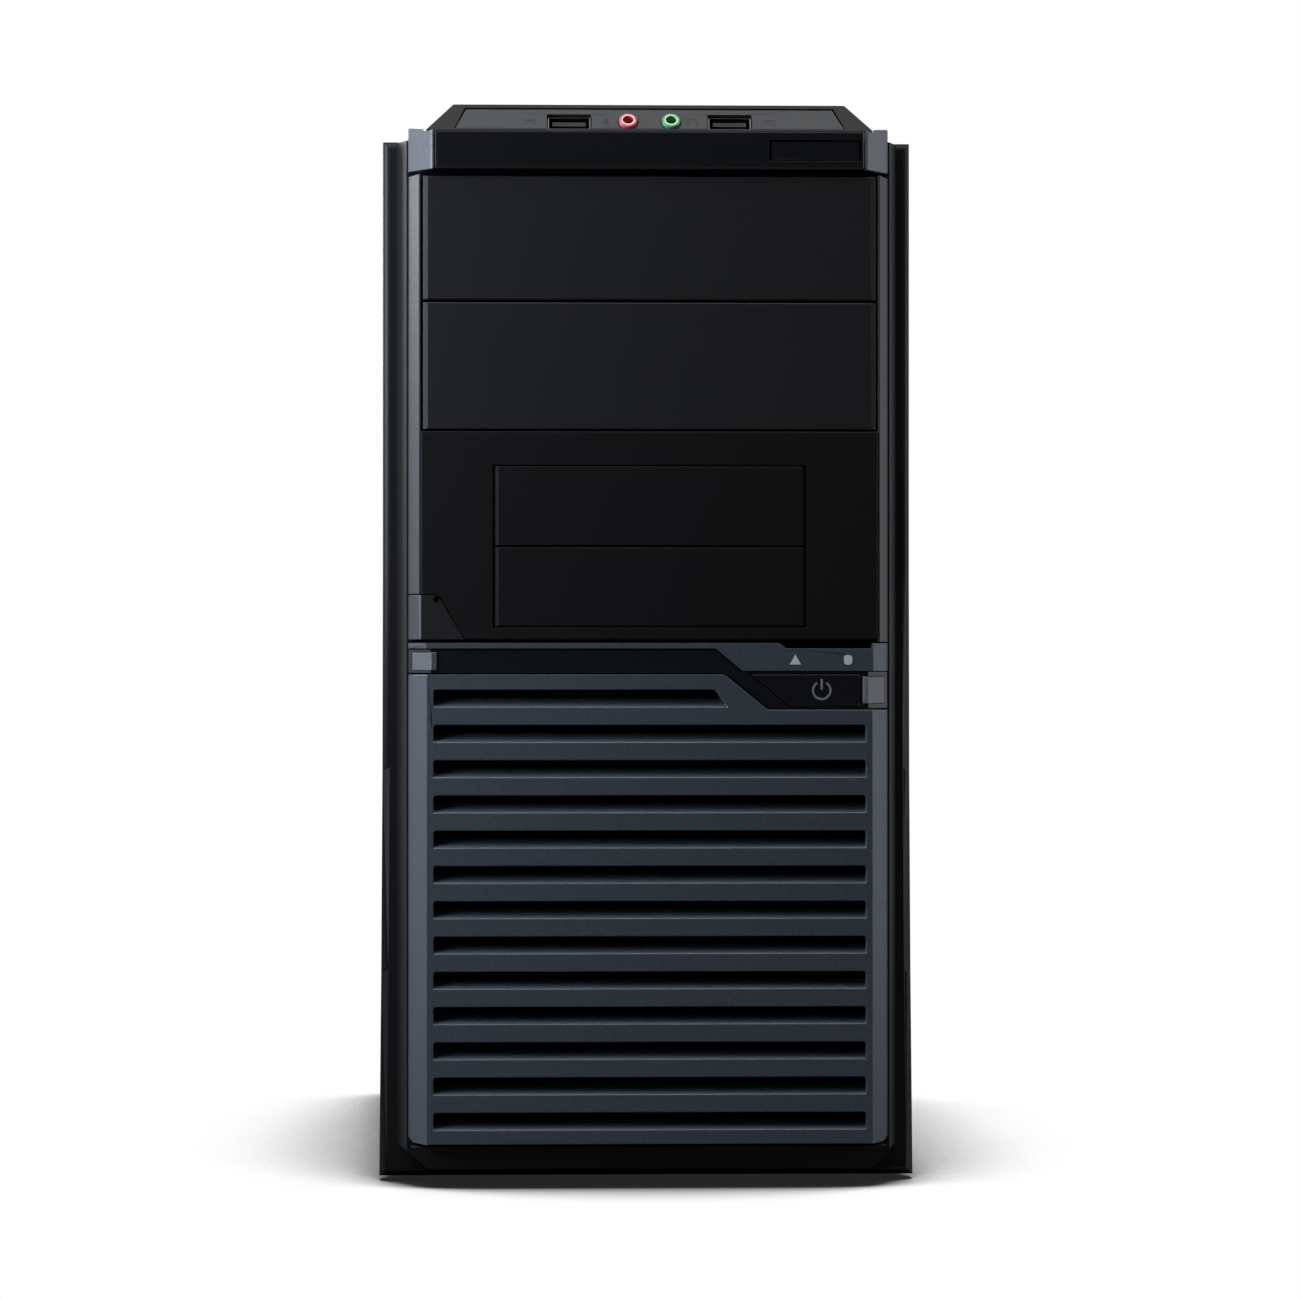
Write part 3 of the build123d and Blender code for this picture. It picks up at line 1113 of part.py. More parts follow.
def make_io_sockets():
    """Square sockets of the mainboard: each an open shell with a tongue, standing on the board."""
    y1 = CHASSIS_REAR_Y + 0.2
    shells = []
    for x_low, x_high, z_low, z_high in io_windows():
        middle = (x_low + x_high) / 2
        shell = block(x_low, x_high, y1 - 16, y1, z_low, z_high)
        shell -= block(x_low + 1.2, x_high - 1.2, y1 - 10, y1 + 1, z_low + 1.2, z_high - 1.2)
        shell += block(middle - 0.9, middle + 0.9, y1 - 10.1, y1 - 1.5, z_low + 3, z_high - 3)
        shells.append(shell + block(x_high - 0.1, BOARD_X, y1 - 16, y1 - 5, z_low, z_high))
    return shells


def make_audio_jacks():
    """Three 3.5 mm jacks side by side, each a block with a round barrel and an open bore."""
    y1 = CHASSIS_REAR_Y + 0.6
    jacks = []
    for (x, z), x_high in zip(audio_spots(), (BOARD_X, 60.0, 48.0)):
        jack = block(x - 6.0, x_high, y1 - JACK_LENGTH, y1 - 3.4, z - 6.0, z + 6.0)
        jack += rod_y(x, z, 4.1, y1 - 3.5, y1)
        jacks.append(jack - rod_y(x, z, JACK_BORE_R, y1 - JACK_LENGTH - 1, y1 + 1))
    return jacks


# ---------------------------------------------------------------- disk, cables
def make_hard_disk():
    """3.5 inch hard disk: cast body with a pocket for its circuit board, and a raised cover."""
    x0, x1, y0, y1, z0, z1 = -50.8, 50.8, -158.6, -11.6, 133.4, 159.0
    body = block(x0, x1, y0, y1, z0, z1)
    body = fillet(edges_along(body, Axis.Z), 3.0)
    body -= block(x0 + 4, x1 - 4, y0 + 4, y1 - 12, z0 - 1, z0 + 5)
    body += block(x0 + 9, x1 - 9, y0 + 9, y1 - 16, z0 + 3.0, z0 + 5.1)
    body += block(x0 + 6, x1 - 6, y0 + 6, y1 - 6, z1 - 0.1, z1 + 0.6)
    body -= Pos(-8, -92, z1 + 0.6) * Cylinder(12, 1.0)
    body -= block(-40, -5, y1 - 5, y1 + 1, z0 + 2, z0 + 8)
    return body


def cable(points, r, bend):
    """Round harness along straight runs joined by tangent arcs of one radius."""
    path = FilletPolyline(*points, radius=bend)
    start = Plane(origin=path @ 0, z_dir=path % 0)
    return sweep(start * Circle(r), path=path)


def make_cables():
    """Leads held inside the case: the supply's two bundles and the data leads of both drives."""
    wall = PSU_Y[0] + 0.4
    (x_main, z_main, _), (x_lead, z_lead, _) = LEAD_HOLES
    main = cable([(x_main, wall, z_main), (x_main, 26, z_main), (-20, -2, 232), (34, -6.5, 190),
                  (57, -6.5, 176)],
                 4.0, 14.0)
    main += block(56.0, BOARD_X - 12.02, -11, -2, 151, 201)
    lead = cable([(x_lead, wall, z_lead), (x_lead, 28, z_lead), (-62, 6, 222), (-46, 6, 158), (-36, 2, 138.4),
                  (-36, -15.5, 138.4)], 2.6, 8.0)
    disk = cable([(-20, -15.5, 138.4), (-20, 4, 138.4), (-6, 22, 110), (40, 20, 52), (62, 9, 42)], 2.2, 8.0)
    disk += block(57.5, BOARD_X - 8.52, 2, 16, 37.5, 46.5)
    disc = cable([(-44, -15.6, 312), (-44, 8, 308), (-34, 32, 250), (10, 36, 110), (46, 30, 40), (62, 9, 26)],
                 2.2, 8.0)
    disc += block(57.5, BOARD_X - 8.52, 2, 16, 21.5, 30.5)
    return [main, lead, disk, disc]


# ---------------------------------------------------------------- build and write
def both(shape):
    """A shape and its mirror image across the middle of the case."""
    return [shape, mirrored(shape)]


def make_all():
    """Every sub-part: one shape, or a list of separate solids."""
    return {
        "bezel_frame": make_bezel_frame(),
        "side_trims": [make_side_trim(), make_side_trim_left()],
        "bay_surround": make_bay_surround(),
        "corner_badge": make_corner_badge(),
        "tray_cover": make_bay_cover(*BAY1_Z, BAY525_HALF, 2.6),
        "large_bay_cover": make_snap_cover(*BAY2_Z, BAY525_HALF),
        "small_bay_cover_upper": make_snap_cover(*BAY35_UPPER_Z, BAY35_HALF),
        "small_bay_cover_lower": make_snap_cover(*BAY35_LOWER_Z, BAY35_HALF),
        "header_strip": make_header(),
        "bright_corners": both(make_header_corner()) + make_centre_corner_blocks(),
        "eject_bar": make_eject_bar(),
        "indicator_bar": make_indicator_bar(),
        "indicator_lenses": make_indicator_lenses(),
        "centre_strip": make_centre_strip(),
        "power_key": make_power_key(),
        "front_boards": [make_power_board(), make_port_board()],
        "intake_grille": make_grille(),
        "port_pod": make_port_pod(),
        "port_plate": make_port_plate(),
        "usb_sockets": [make_usb_socket(-1), make_usb_socket(1)],
        "microphone_jack": make_jack(-1),
        "headphone_jack": make_jack(1),
        "front_plate": make_front_plate(),
        "base_pan": make_base_pan(),
        "roof": make_roof(),
        "rear_panel": make_rear_panel(),
        "mainboard_tray": make_mainboard_tray(),
        "drive_cage": make_drive_cage(),
        "disk_cage": make_disk_cage(),
        "side_panel_left": make_side_panel(True, 72.0, -THUMB_X),
        "side_panel_right": mirrored(make_side_panel(False, 76.4, SCREW_X)),
        "thumbscrew_lower": make_thumbscrew(PANEL_SCREW_Z[0]),
        "thumbscrew_upper": make_thumbscrew(PANEL_SCREW_Z[1]),
        "lock_loop": make_lock_loop(),
        "rubber_feet": make_feet(),
        "optical_case": make_optical_case(),
        "optical_face": make_optical_face(),
        "optical_tray": make_optical_tray(),
        "rear_fan_frame": make_rear_fan_frame(),
        "rear_fan_rotor": make_rear_fan_rotor(),
        "psu_case": make_psu_case(),
        "psu_core": [make_psu_core(), make_psu_fan_frame()],
        "psu_fan_rotor": make_psu_fan_rotor(),
        "power_inlet": [make_power_inlet(), make_selector_body()],
        "selector_slider": make_selector_slider(),
        "mainboard": make_mainboard(),
        "cooler_sink": make_cooler(),
        "cooler_fan_frame": make_cooler_fan_frame(),
        "cooler_rotor": make_cooler_rotor(),
        "board_sockets": make_memory_sockets() + make_card_sockets(),
        "memory_modules": [make_memory_module(y) for y in DIMM_Y],
        "memory_latch_front": make_memory_latch(DIMM_Y[0]),
        "memory_latch_rear": make_memory_latch(DIMM_Y[1]),
        "slot_covers": make_slot_covers(),
        "card_latch": make_card_latch(),
        "io_shield": make_io_shield(),
        "io_sockets": make_io_sockets() + make_audio_jacks(),
        "hard_disk": make_hard_disk(),
        "cables": make_cables(),
        "fasteners": make_right_screws() + make_fan_screws() + make_psu_screws() + make_board_fixings(),
    }


os.makedirs("parts", exist_ok=True)
for node, shape in make_all().items():
    if isinstance(shape, list):
        shape = group(shape)
    export_step(shape, f"parts/{node}.step")
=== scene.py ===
# %% [markdown]
# # A micro-tower desktop computer, dressed in Blender
#
# The case arrives as a finished mechanical model: sixty named parts that already have their true size,
# their place and their joints. This lesson adds what makes them look real: small edge radii, plastics,
# paints and metals made from nodes, printed symbols, fan blades, sockets and a soft studio.
#
# Everything is in metres. +Z is up, the front of the computer faces -Y, and +X is to the right.

# %% Load the model
import math

import bmesh
import bpy
from mathutils import Matrix, Vector


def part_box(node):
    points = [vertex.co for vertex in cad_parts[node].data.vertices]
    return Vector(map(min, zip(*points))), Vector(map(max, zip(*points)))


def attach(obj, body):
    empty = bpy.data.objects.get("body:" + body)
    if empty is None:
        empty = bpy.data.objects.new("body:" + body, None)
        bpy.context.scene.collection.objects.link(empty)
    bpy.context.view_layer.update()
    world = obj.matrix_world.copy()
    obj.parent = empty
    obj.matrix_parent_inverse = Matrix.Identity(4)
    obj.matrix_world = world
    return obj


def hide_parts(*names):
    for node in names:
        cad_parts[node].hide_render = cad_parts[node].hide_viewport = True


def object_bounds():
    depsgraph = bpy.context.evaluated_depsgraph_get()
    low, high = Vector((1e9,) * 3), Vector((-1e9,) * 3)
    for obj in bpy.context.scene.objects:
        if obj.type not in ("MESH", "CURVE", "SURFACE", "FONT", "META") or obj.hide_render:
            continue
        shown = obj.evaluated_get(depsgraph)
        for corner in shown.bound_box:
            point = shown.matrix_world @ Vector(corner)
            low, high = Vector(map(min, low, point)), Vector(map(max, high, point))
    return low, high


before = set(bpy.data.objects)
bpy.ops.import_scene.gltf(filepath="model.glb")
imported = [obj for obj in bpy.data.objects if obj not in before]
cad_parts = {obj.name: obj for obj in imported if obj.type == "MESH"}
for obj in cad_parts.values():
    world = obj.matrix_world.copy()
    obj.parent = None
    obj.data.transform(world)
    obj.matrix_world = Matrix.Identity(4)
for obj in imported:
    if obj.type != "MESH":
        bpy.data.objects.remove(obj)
cad_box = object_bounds()
MM = 0.001      # one millimetre, in metres

# %% [markdown]
# ## Camera
#
# A product picture of a tall box is taken from far away with a long lens, level with the middle of the
# box, so that its upright edges stay parallel. The camera stands a little to the left of the centre line
# and looks at the middle of the front.

# %% Camera
CAMERA_DISTANCE = 1.8
CAMERA_YAW = math.radians(2.2)  # towards the left
CAMERA_HEIGHT = 0.1772
FRAME_WIDTH = 0.42805
SENSOR = 36.0

target = Vector((0.0, cad_box[0][1], CAMERA_HEIGHT))
eye = target + CAMERA_DISTANCE * Vector((-math.sin(CAMERA_YAW), -math.cos(CAMERA_YAW), 0.0))
camera_data = bpy.data.cameras.new("camera")
camera_data.sensor_width = SENSOR
camera_data.lens = SENSOR * CAMERA_DISTANCE / FRAME_WIDTH
camera = bpy.data.objects.new("camera", camera_data)
camera.location = eye
camera.rotation_euler = (target - eye).to_track_quat("-Z", "Y").to_euler()
bpy.context.scene.collection.objects.link(camera)
bpy.context.scene.camera = camera
bpy.context.scene.view_settings.view_transform = "Standard"
print("lens mm", round(camera_data.lens, 1))

# %% [markdown]
# ## Studio
#
# Glossy black plastic shows the room, so the room is part of its look: white behind the object and on the
# floor, grey in front of it. A tall soft box close to the left makes the light fall off across the front,
# a weaker one fills the right, and a large one overhead draws the top edges.

# %% Studio
def linear(hex_colour):
    """An sRGB hex colour such as "4a4d52" as linear red, green, blue and alpha."""
    parts = [int(hex_colour[i:i + 2], 16) / 255 for i in (0, 2, 4)]
    return tuple(c / 12.92 if c <= 0.04045 else ((c + 0.055) / 1.055) ** 2.4 for c in parts) + (1.0,)


def add(tree, kind, inputs=None, **settings):
    """Adds a shader node with its settings, its constant inputs and its links."""
    made = tree.nodes.new(kind)
    for key, value in settings.items():
        setattr(made, key, value)
    for key, value in (inputs or {}).items():
        if isinstance(value, bpy.types.NodeSocket):
            tree.links.new(value, made.inputs[key])
        else:
            made.inputs[key].default_value = value
    return made


def soft_box(name, place, aim, width, height, power, colour="ffffff"):
    """A rectangular studio light that points at aim."""
    data = bpy.data.lights.new(name, "AREA")
    data.shape = "RECTANGLE"
    data.size = width
    data.size_y = height
    data.energy = power
    data.color = linear(colour)[:3]
    light = bpy.data.objects.new(name, data)
    light.location = place
    light.rotation_euler = (Vector(aim) - Vector(place)).to_track_quat("-Z", "Y").to_euler()
    bpy.context.scene.collection.objects.link(light)


front_middle = (0.0, -0.17, 0.19)
back_middle = (0.0, 0.2, 0.2)
soft_box("left_box", (-0.35, -0.32, 0.35), front_middle, 0.16, 0.32, 1.65, "eaf1ff")
soft_box("right_box", (0.60, -0.27, 0.33), front_middle, 0.22, 0.40, 0.78)
soft_box("top_box", (0.0, -0.40, 0.95), front_middle, 0.7, 0.25, 2.2)
soft_box("back_box", (-0.5, 1.2, 0.8), back_middle, 0.9, 0.9, 14.0)

world = bpy.data.worlds.new("studio")
bpy.context.scene.world = world
world.use_nodes = True
sky = world.node_tree
sky.nodes.clear()
DARK_FRONT, LIT_BACK = 0.012, 0.45
heading = add(sky, "ShaderNodeSeparateXYZ", {"Vector": add(sky, "ShaderNodeTexCoord").outputs["Generated"]})
glow = add(sky, "ShaderNodeMapRange", {"Value": heading.outputs["Y"], "From Min": -0.5, "From Max": 0.7,
                                       "To Min": DARK_FRONT, "To Max": LIT_BACK})
seen = add(sky, "ShaderNodeBackground", {"Color": linear("ffffff"), "Strength": 1.0})
felt = add(sky, "ShaderNodeBackground", {"Color": linear("eef1f6"), "Strength": glow.outputs[0]})
ray = add(sky, "ShaderNodeLightPath")
both = add(sky, "ShaderNodeMixShader", {0: ray.outputs["Is Camera Ray"], 1: felt.outputs[0],
                                        2: seen.outputs[0]})
add(sky, "ShaderNodeOutputWorld", {"Surface": both.outputs[0]})
print("studio lit")

# %% [markdown]
# ## Floor
#
# A product picture on white has no visible floor, only a soft shadow under and before the object. A glowing
# white disc gives that. Its brightness is its ambient occlusion, which is how much of the open room each
# point of it can see, taken twice: once looking backwards over a long way, for the shadow that falls
# forwards, and once looking up over a short way, for the dark line where something touches. The disc fades
# out before its rim, so that no horizon shows. The object itself sees a dimmer floor, as it would on a sheet
# of paper in a room that is darker in front.

# %% Floor
FLOOR_RADIUS = 1.6
FLOOR_DROP = 0.0002                  # the disc lies this far under the feet
FADE_START, FADE_END = 0.6, 1.2
SHADOW_REACH = 0.155
SHADOW_LEAN = (0.0, 0.99, 0.14)      # almost level: half of what a point sees is then under the floor
SHADOW_DARK, SHADOW_CLEAR = 0.43, 0.71
CONTACT_REACH = 0.02
CONTACT_DARK, CONTACT_CLEAR = 0.2, 0.9
FLOOR_GLOW_SEEN, FLOOR_GLOW_FELT = 1.0, 0.12
floor_mesh = bpy.data.meshes.new("floor")
maker = bmesh.new()
bmesh.ops.create_circle(maker, cap_ends=True, segments=96, radius=FLOOR_RADIUS)
maker.to_mesh(floor_mesh)
maker.free()
floor = bpy.data.objects.new("floor", floor_mesh)
bpy.context.scene.collection.objects.link(floor)
floor.location = (0.0, 0.0, -FLOOR_DROP)
paper = bpy.data.materials.new("white_paper_sweep")
paper.use_nodes = True
tree = paper.node_tree
tree.nodes.clear()
ahead = add(tree, "ShaderNodeAmbientOcclusion", {"Distance": SHADOW_REACH, "Normal": SHADOW_LEAN}, samples=24)
cast = add(tree, "ShaderNodeMapRange", {"Value": ahead.outputs["AO"], "From Min": SHADOW_DARK,
                                       "From Max": SHADOW_CLEAR, "To Min": 0.045})
around = add(tree, "ShaderNodeAmbientOcclusion", {"Distance": CONTACT_REACH}, samples=16)
touch = add(tree, "ShaderNodeMapRange", {"Value": around.outputs["AO"], "From Min": CONTACT_DARK,
                                        "From Max": CONTACT_CLEAR, "To Min": 0.4})
shade = add(tree, "ShaderNodeMath", {0: cast.outputs[0], 1: touch.outputs[0]}, operation="MULTIPLY")
ray = add(tree, "ShaderNodeLightPath")
strength = add(tree, "ShaderNodeMapRange", {"Value": ray.outputs["Is Camera Ray"], "To Min": FLOOR_GLOW_FELT,
                                           "To Max": FLOOR_GLOW_SEEN})
lit = add(tree, "ShaderNodeMath", {0: shade.outputs[0], 1: strength.outputs[0]}, operation="MULTIPLY")
sheet = add(tree, "ShaderNodeEmission", {"Color": linear("ffffff"), "Strength": lit.outputs[0]})
place = add(tree, "ShaderNodeTexCoord")
away = add(tree, "ShaderNodeVectorMath", {0: place.outputs["Object"]}, operation="LENGTH")
fade = add(tree, "ShaderNodeMapRange", {"Value": away.outputs["Value"], "From Min": FADE_START,
                                       "From Max": FADE_END}, interpolation_type="SMOOTHSTEP")
clear = add(tree, "ShaderNodeBsdfTransparent")
mixed = add(tree, "ShaderNodeMixShader", {0: fade.outputs[0], 1: sheet.outputs[0], 2: clear.outputs[0]})
add(tree, "ShaderNodeOutputMaterial", {"Surface": mixed.outputs[0]})
floor_mesh.materials.append(paper)
print("floor radius", FLOOR_RADIUS)

# %% [markdown]
# ## Materials: the plastics
#
# The bezel is ABS, an opaque plastic with an index of refraction of about 1.54. What changes from piece to
# piece is the tool it was moulded in. A spark-eroded tool leaves a fine pebbled surface that scatters the
# light and looks grey; a polished tool leaves a black mirror. The pebbles are about 0.1 mm across on the
# real thing, too fine to see here, so they are drawn 0.7 mm across and very shallow.

# %% Moulded plastics
ABS_IOR = 1.54
SPARK_GRAIN = 0.7 * MM


def blank(name):
    """A new material with only its output, and the object-space position that all patterns use."""
    material = bpy.data.materials.new(name)
    material.use_nodes = True
    shader_tree = material.node_tree
    shader_tree.nodes.clear()
    output = add(shader_tree, "ShaderNodeOutputMaterial")
    where = add(shader_tree, "ShaderNodeTexCoord").outputs["Object"]
    return material, shader_tree, output, where


def shaded(tree, where, hex_a, hex_b, size, detail=2.0):
    """A soft drift between two near colours, over patches of that size."""
    cloud = add(tree, "ShaderNodeTexNoise", {"Vector": where, "Scale": 1 / size, "Detail": detail})
    return add(tree, "ShaderNodeMix", {"Factor": cloud.outputs["Fac"], "A": linear(hex_a),
                                       "B": linear(hex_b)}, data_type="RGBA").outputs["Result"]


def textured_abs(name, hex_a, hex_b, roughness, depth=0.02 * MM, grain=SPARK_GRAIN, specular=0.5):
    """ABS from a spark-eroded tool: matt, finely pebbled."""
    material, tree, output, where = blank(name)
    pebbles = add(tree, "ShaderNodeTexNoise", {"Vector": where, "Scale": 1 / grain, "Detail": 3.0})
    relief = add(tree, "ShaderNodeBump", {"Height": pebbles.outputs["Fac"], "Distance": depth,
                                          "Strength": 1.0})
    rough = add(tree, "ShaderNodeMapRange", {"Value": pebbles.outputs["Fac"], "To Min": roughness - 0.05,
                                            "To Max": roughness + 0.05})
    skin = add(tree, "ShaderNodeBsdfPrincipled", {
        "Base Color": shaded(tree, where, hex_a, hex_b, 30 * MM), "Roughness": rough.outputs[0],
        "IOR": ABS_IOR, "Specular IOR Level": specular, "Normal": relief.outputs[0]})
    tree.links.new(skin.outputs[0], output.inputs["Surface"])
    return material


def polished_abs(name, hex_a, hex_b, roughness=0.07):
    """ABS from a polished tool: a dark mirror with the slight waviness of a moulding."""
    material, tree, output, where = blank(name)
    waves = add(tree, "ShaderNodeTexNoise", {"Vector": where, "Scale": 1 / (9 * MM), "Detail": 1.0})
    relief = add(tree, "ShaderNodeBump", {"Height": waves.outputs["Fac"], "Distance": 0.03 * MM,
                                          "Strength": 0.5})
    skin = add(tree, "ShaderNodeBsdfPrincipled", {
        "Base Color": shaded(tree, where, hex_a, hex_b, 25 * MM), "Roughness": roughness,
        "IOR": ABS_IOR, "Normal": relief.outputs[0], "Coat Weight": 0.4, "Coat Roughness": 0.03})
    tree.links.new(skin.outputs[0], output.inputs["Surface"])
    return material


spark_black = textured_abs("spark_textured_black_abs", "070708", "0b0b0c", 0.52, specular=0.4)
bay_grey = textured_abs("spark_textured_charcoal_abs", "131417", "18191c", 0.52)
bay_black = textured_abs("fine_spark_textured_abs", "08080a", "0b0b0d", 0.62, specular=0.25)
pod_grey = textured_abs("satin_grey_abs", "2c2f32", "323538", 0.45)
piano_black = polished_abs("polished_black_abs", "1b1c1f", "1f2023", 0.12)
pbt_black = textured_abs("glass_filled_black_pbt", "151517", "1c1c1e", 0.55, 0.015 * MM)
print("plastics ready")

# %% [markdown]
# ## Materials: metallic paint on plastic
#
# The silver-grey trims and the blue-grey grille are ABS sprayed with paint that holds aluminium flakes. A
# flake paint is half way between metal and plastic: it brightens at the angle of the light more than
# plastic does, but without a sharp reflection. Flakes are about 0.05 mm wide and are drawn 0.5 mm wide.

# %% Metallic paint
FLAKE = 0.5 * MM


def flake_paint(name, hex_a, hex_b, metallic=0.55, roughness=0.42):
    """Aluminium-flake paint under a thin satin lacquer."""
    material, tree, output, where = blank(name)
    flakes = add(tree, "ShaderNodeTexVoronoi", {"Vector": where, "Scale": 1 / FLAKE})
    sparkle = add(tree, "ShaderNodeSeparateColor", {"Color": flakes.outputs["Color"]})
    rough = add(tree, "ShaderNodeMapRange", {"Value": sparkle.outputs["Red"], "To Min": roughness - 0.06,
                                            "To Max": roughness + 0.06})
    tint = add(tree, "ShaderNodeMix", {"Factor": sparkle.outputs["Green"], "A": linear(hex_a),
                                      "B": linear(hex_b)}, data_type="RGBA")
    skin = add(tree, "ShaderNodeBsdfPrincipled", {
        "Base Color": tint.outputs["Result"], "Metallic": metallic, "Roughness": rough.outputs[0],
        "IOR": ABS_IOR, "Coat Weight": 0.15, "Coat Roughness": 0.3})
    tree.links.new(skin.outputs[0], output.inputs["Surface"])
    return material


silver_paint = flake_paint("silver_flake_paint", "7d8186", "898d93")
titanium_paint = flake_paint("titanium_flake_paint", "45484c", "4f5256", roughness=0.5)
gunmetal_paint = flake_paint("gunmetal_flake_paint", "5e6872", "69747e")
print("paints ready")

# %% [markdown]
# ## Materials: sheet metal
#
# The case is rolled steel. Inside and at the back it is zinc plated: bright, with a faint drawn grain. The
# outer panels are powder coated, which leaves a slightly bumpy orange peel.

# %% Sheet metal
def plated_steel(name, hex_a, hex_b, roughness, grain_direction=(1.0, 1.0, 30.0)):
    """Rolled and plated steel: the grain is a noise stretched along the rolling direction."""
    material, tree, output, where = blank(name)
    stretched = add(tree, "ShaderNodeVectorMath", {0: where, 1: grain_direction}, operation="MULTIPLY")
    grain = add(tree, "ShaderNodeTexNoise", {"Vector": stretched.outputs[0], "Scale": 1 / (6 * MM),
                                            "Detail": 4.0})
    rough = add(tree, "ShaderNodeMapRange", {"Value": grain.outputs["Fac"], "To Min": roughness - 0.07,
                                            "To Max": roughness + 0.09})
    relief = add(tree, "ShaderNodeBump", {"Height": grain.outputs["Fac"], "Distance": 0.01 * MM,
                                          "Strength": 0.6})
    skin = add(tree, "ShaderNodeBsdfPrincipled", {
        "Base Color": shaded(tree, where, hex_a, hex_b, 20 * MM), "Metallic": 1.0,
        "Roughness": rough.outputs[0], "Normal": relief.outputs[0]})
    tree.links.new(skin.outputs[0], output.inputs["Surface"])
    return material


def powder_coat(name, hex_a, hex_b, roughness=0.5):
    """Baked powder coat: a fine even orange peel, 1.2 mm from hill to hill."""
    material, tree, output, where = blank(name)
    peel = add(tree, "ShaderNodeTexNoise", {"Vector": where, "Scale": 1 / (1.2 * MM), "Detail": 2.0})
    relief = add(tree, "ShaderNodeBump", {"Height": peel.outputs["Fac"], "Distance": 0.05 * MM,
                                          "Strength": 0.8})
    skin = add(tree, "ShaderNodeBsdfPrincipled", {
        "Base Color": shaded(tree, where, hex_a, hex_b, 60 * MM), "Roughness": roughness, "IOR": 1.5,
        "Normal": relief.outputs[0]})
    tree.links.new(skin.outputs[0], output.inputs["Surface"])
    return material


zinc = plated_steel("zinc_plated_steel", "9a9d9f", "a8abac", 0.42)
nickel = plated_steel("nickel_plated_steel", "b9b6b0", "c6c3bd", 0.24)
# A darker copy of the nickel, for the front USB shells only: painted shade for the inside of their recesses.
nickel_with_painted_shade = plated_steel("nickel_plate_with_painted_shade", "5f5d5a", "6b6966", 0.36)
screw_zinc = plated_steel("zinc_plated_screws", "aeb0b2", "bcbec0", 0.28)
cast_aluminium = plated_steel("satin_aluminium", "b4b6b8", "c0c2c4", 0.38, (1.0, 1.0, 1.0))
panel_black = powder_coat("black_powder_coat", "0f1011", "141517")
print("metals ready")

# %% [markdown]
# ## Materials: rubber, circuit boards and small coloured parts
#
# A circuit board is green because of the lacquer over its copper, and the copper shows through as paler
# tracks. Two parts carry more than one finish: the corner insert has a painted edge, and the supply's node
# holds both its green board and its black fan frame. One material serves both finishes, split at a plane.

# %% Small materials
def circuit_board(name):
    """Green solder mask over copper: thin paler tracks in a dark green ground."""
    material, tree, output, where = blank(name)
    cells = add(tree, "ShaderNodeTexVoronoi", {"Vector": where, "Scale": 1 / (7 * MM)}, distance="MANHATTAN",
                feature="F1")
    tracks = add(tree, "ShaderNodeMath", {0: cells.outputs["Distance"], 1: 14.0}, operation="MULTIPLY")
    lines = add(tree, "ShaderNodeMath", {0: tracks.outputs[0]}, operation="SINE")
    edge = add(tree, "ShaderNodeMapRange", {"Value": lines.outputs[0], "From Min": 0.55, "From Max": 0.8})
    tint = add(tree, "ShaderNodeMix", {"Factor": edge.outputs[0], "A": linear("0d3a20"),
                                      "B": linear("1c5a34")}, data_type="RGBA")
    relief = add(tree, "ShaderNodeBump", {"Height": edge.outputs[0], "Distance": 0.04 * MM, "Strength": 0.6})
    skin = add(tree, "ShaderNodeBsdfPrincipled", {
        "Base Color": tint.outputs["Result"], "Roughness": 0.3, "IOR": 1.5, "Normal": relief.outputs[0]})
    tree.links.new(skin.outputs[0], output.inputs["Surface"])
    return material


def zoned(name, axis, edge, low, high):
    """Two finishes on one part, split where an axis crosses edge: low before it and high beyond it.

    A finish is two near colours, how metallic it is, and its roughness.
    """
    material, tree, output, where = blank(name)
    along = add(tree, "ShaderNodeSeparateXYZ", {"Vector": where}).outputs[axis]
    share = add(tree, "ShaderNodeMath", {0: along, 1: edge}, operation="GREATER_THAN").outputs[0]
    tints = [shaded(tree, where, hex_a, hex_b, 20 * MM) for hex_a, hex_b, _, _ in (low, high)]
    tint = add(tree, "ShaderNodeMix", {"Factor": share, "A": tints[0], "B": tints[1]}, data_type="RGBA")
    metal = add(tree, "ShaderNodeMapRange", {"Value": share, "To Min": low[2], "To Max": high[2]})
    rough = add(tree, "ShaderNodeMapRange", {"Value": share, "To Min": low[3], "To Max": high[3]})
    skin = add(tree, "ShaderNodeBsdfPrincipled", {
        "Base Color": tint.outputs["Result"], "Metallic": metal.outputs[0], "Roughness": rough.outputs[0],
        "IOR": ABS_IOR})
    tree.links.new(skin.outputs[0], output.inputs["Surface"])
    return material


board_green = circuit_board("green_solder_mask")
BADGE_RAKE_X = -75.4 * MM       # the insert's painted edge lies left of this
SUPPLY_FAN_Y = 165.0 * MM       # the supply's fan frame lies behind this
badge_finish = zoned("black_abs_with_painted_rake", "X", BADGE_RAKE_X,
                     ("484b4f", "525559", 0.55, 0.42), ("08080a", "0b0b0d", 0.0, 0.6))
supply_finish = zoned("supply_circuit_and_fan_frame", "Y", SUPPLY_FAN_Y,
                      ("0d3a20", "1c5a34", 0.0, 0.35), ("111113", "18181a", 0.0, 0.55))
rubber = textured_abs("moulded_rubber", "101010", "161616", 0.75, 0.03 * MM, 1.0 * MM)
pink = polished_abs("pink_pbt", "d95866", "e26674", 0.3)
green = polished_abs("green_pbt", "4fae68", "5dba76", 0.3)
red = polished_abs("red_abs", "a81a16", "b3221c", 0.3)
ivory = textured_abs("ivory_nylon", "d8d4c4", "e0dccd", 0.45, 0.01 * MM)
lens_white = polished_abs("milk_white_light_guide", "dfe4ea", "eef1f5", 0.2)
sleeve = textured_abs("black_woven_sleeve", "121212", "1b1b1b", 0.7, 0.08 * MM, 1.2 * MM)
print("small materials ready")

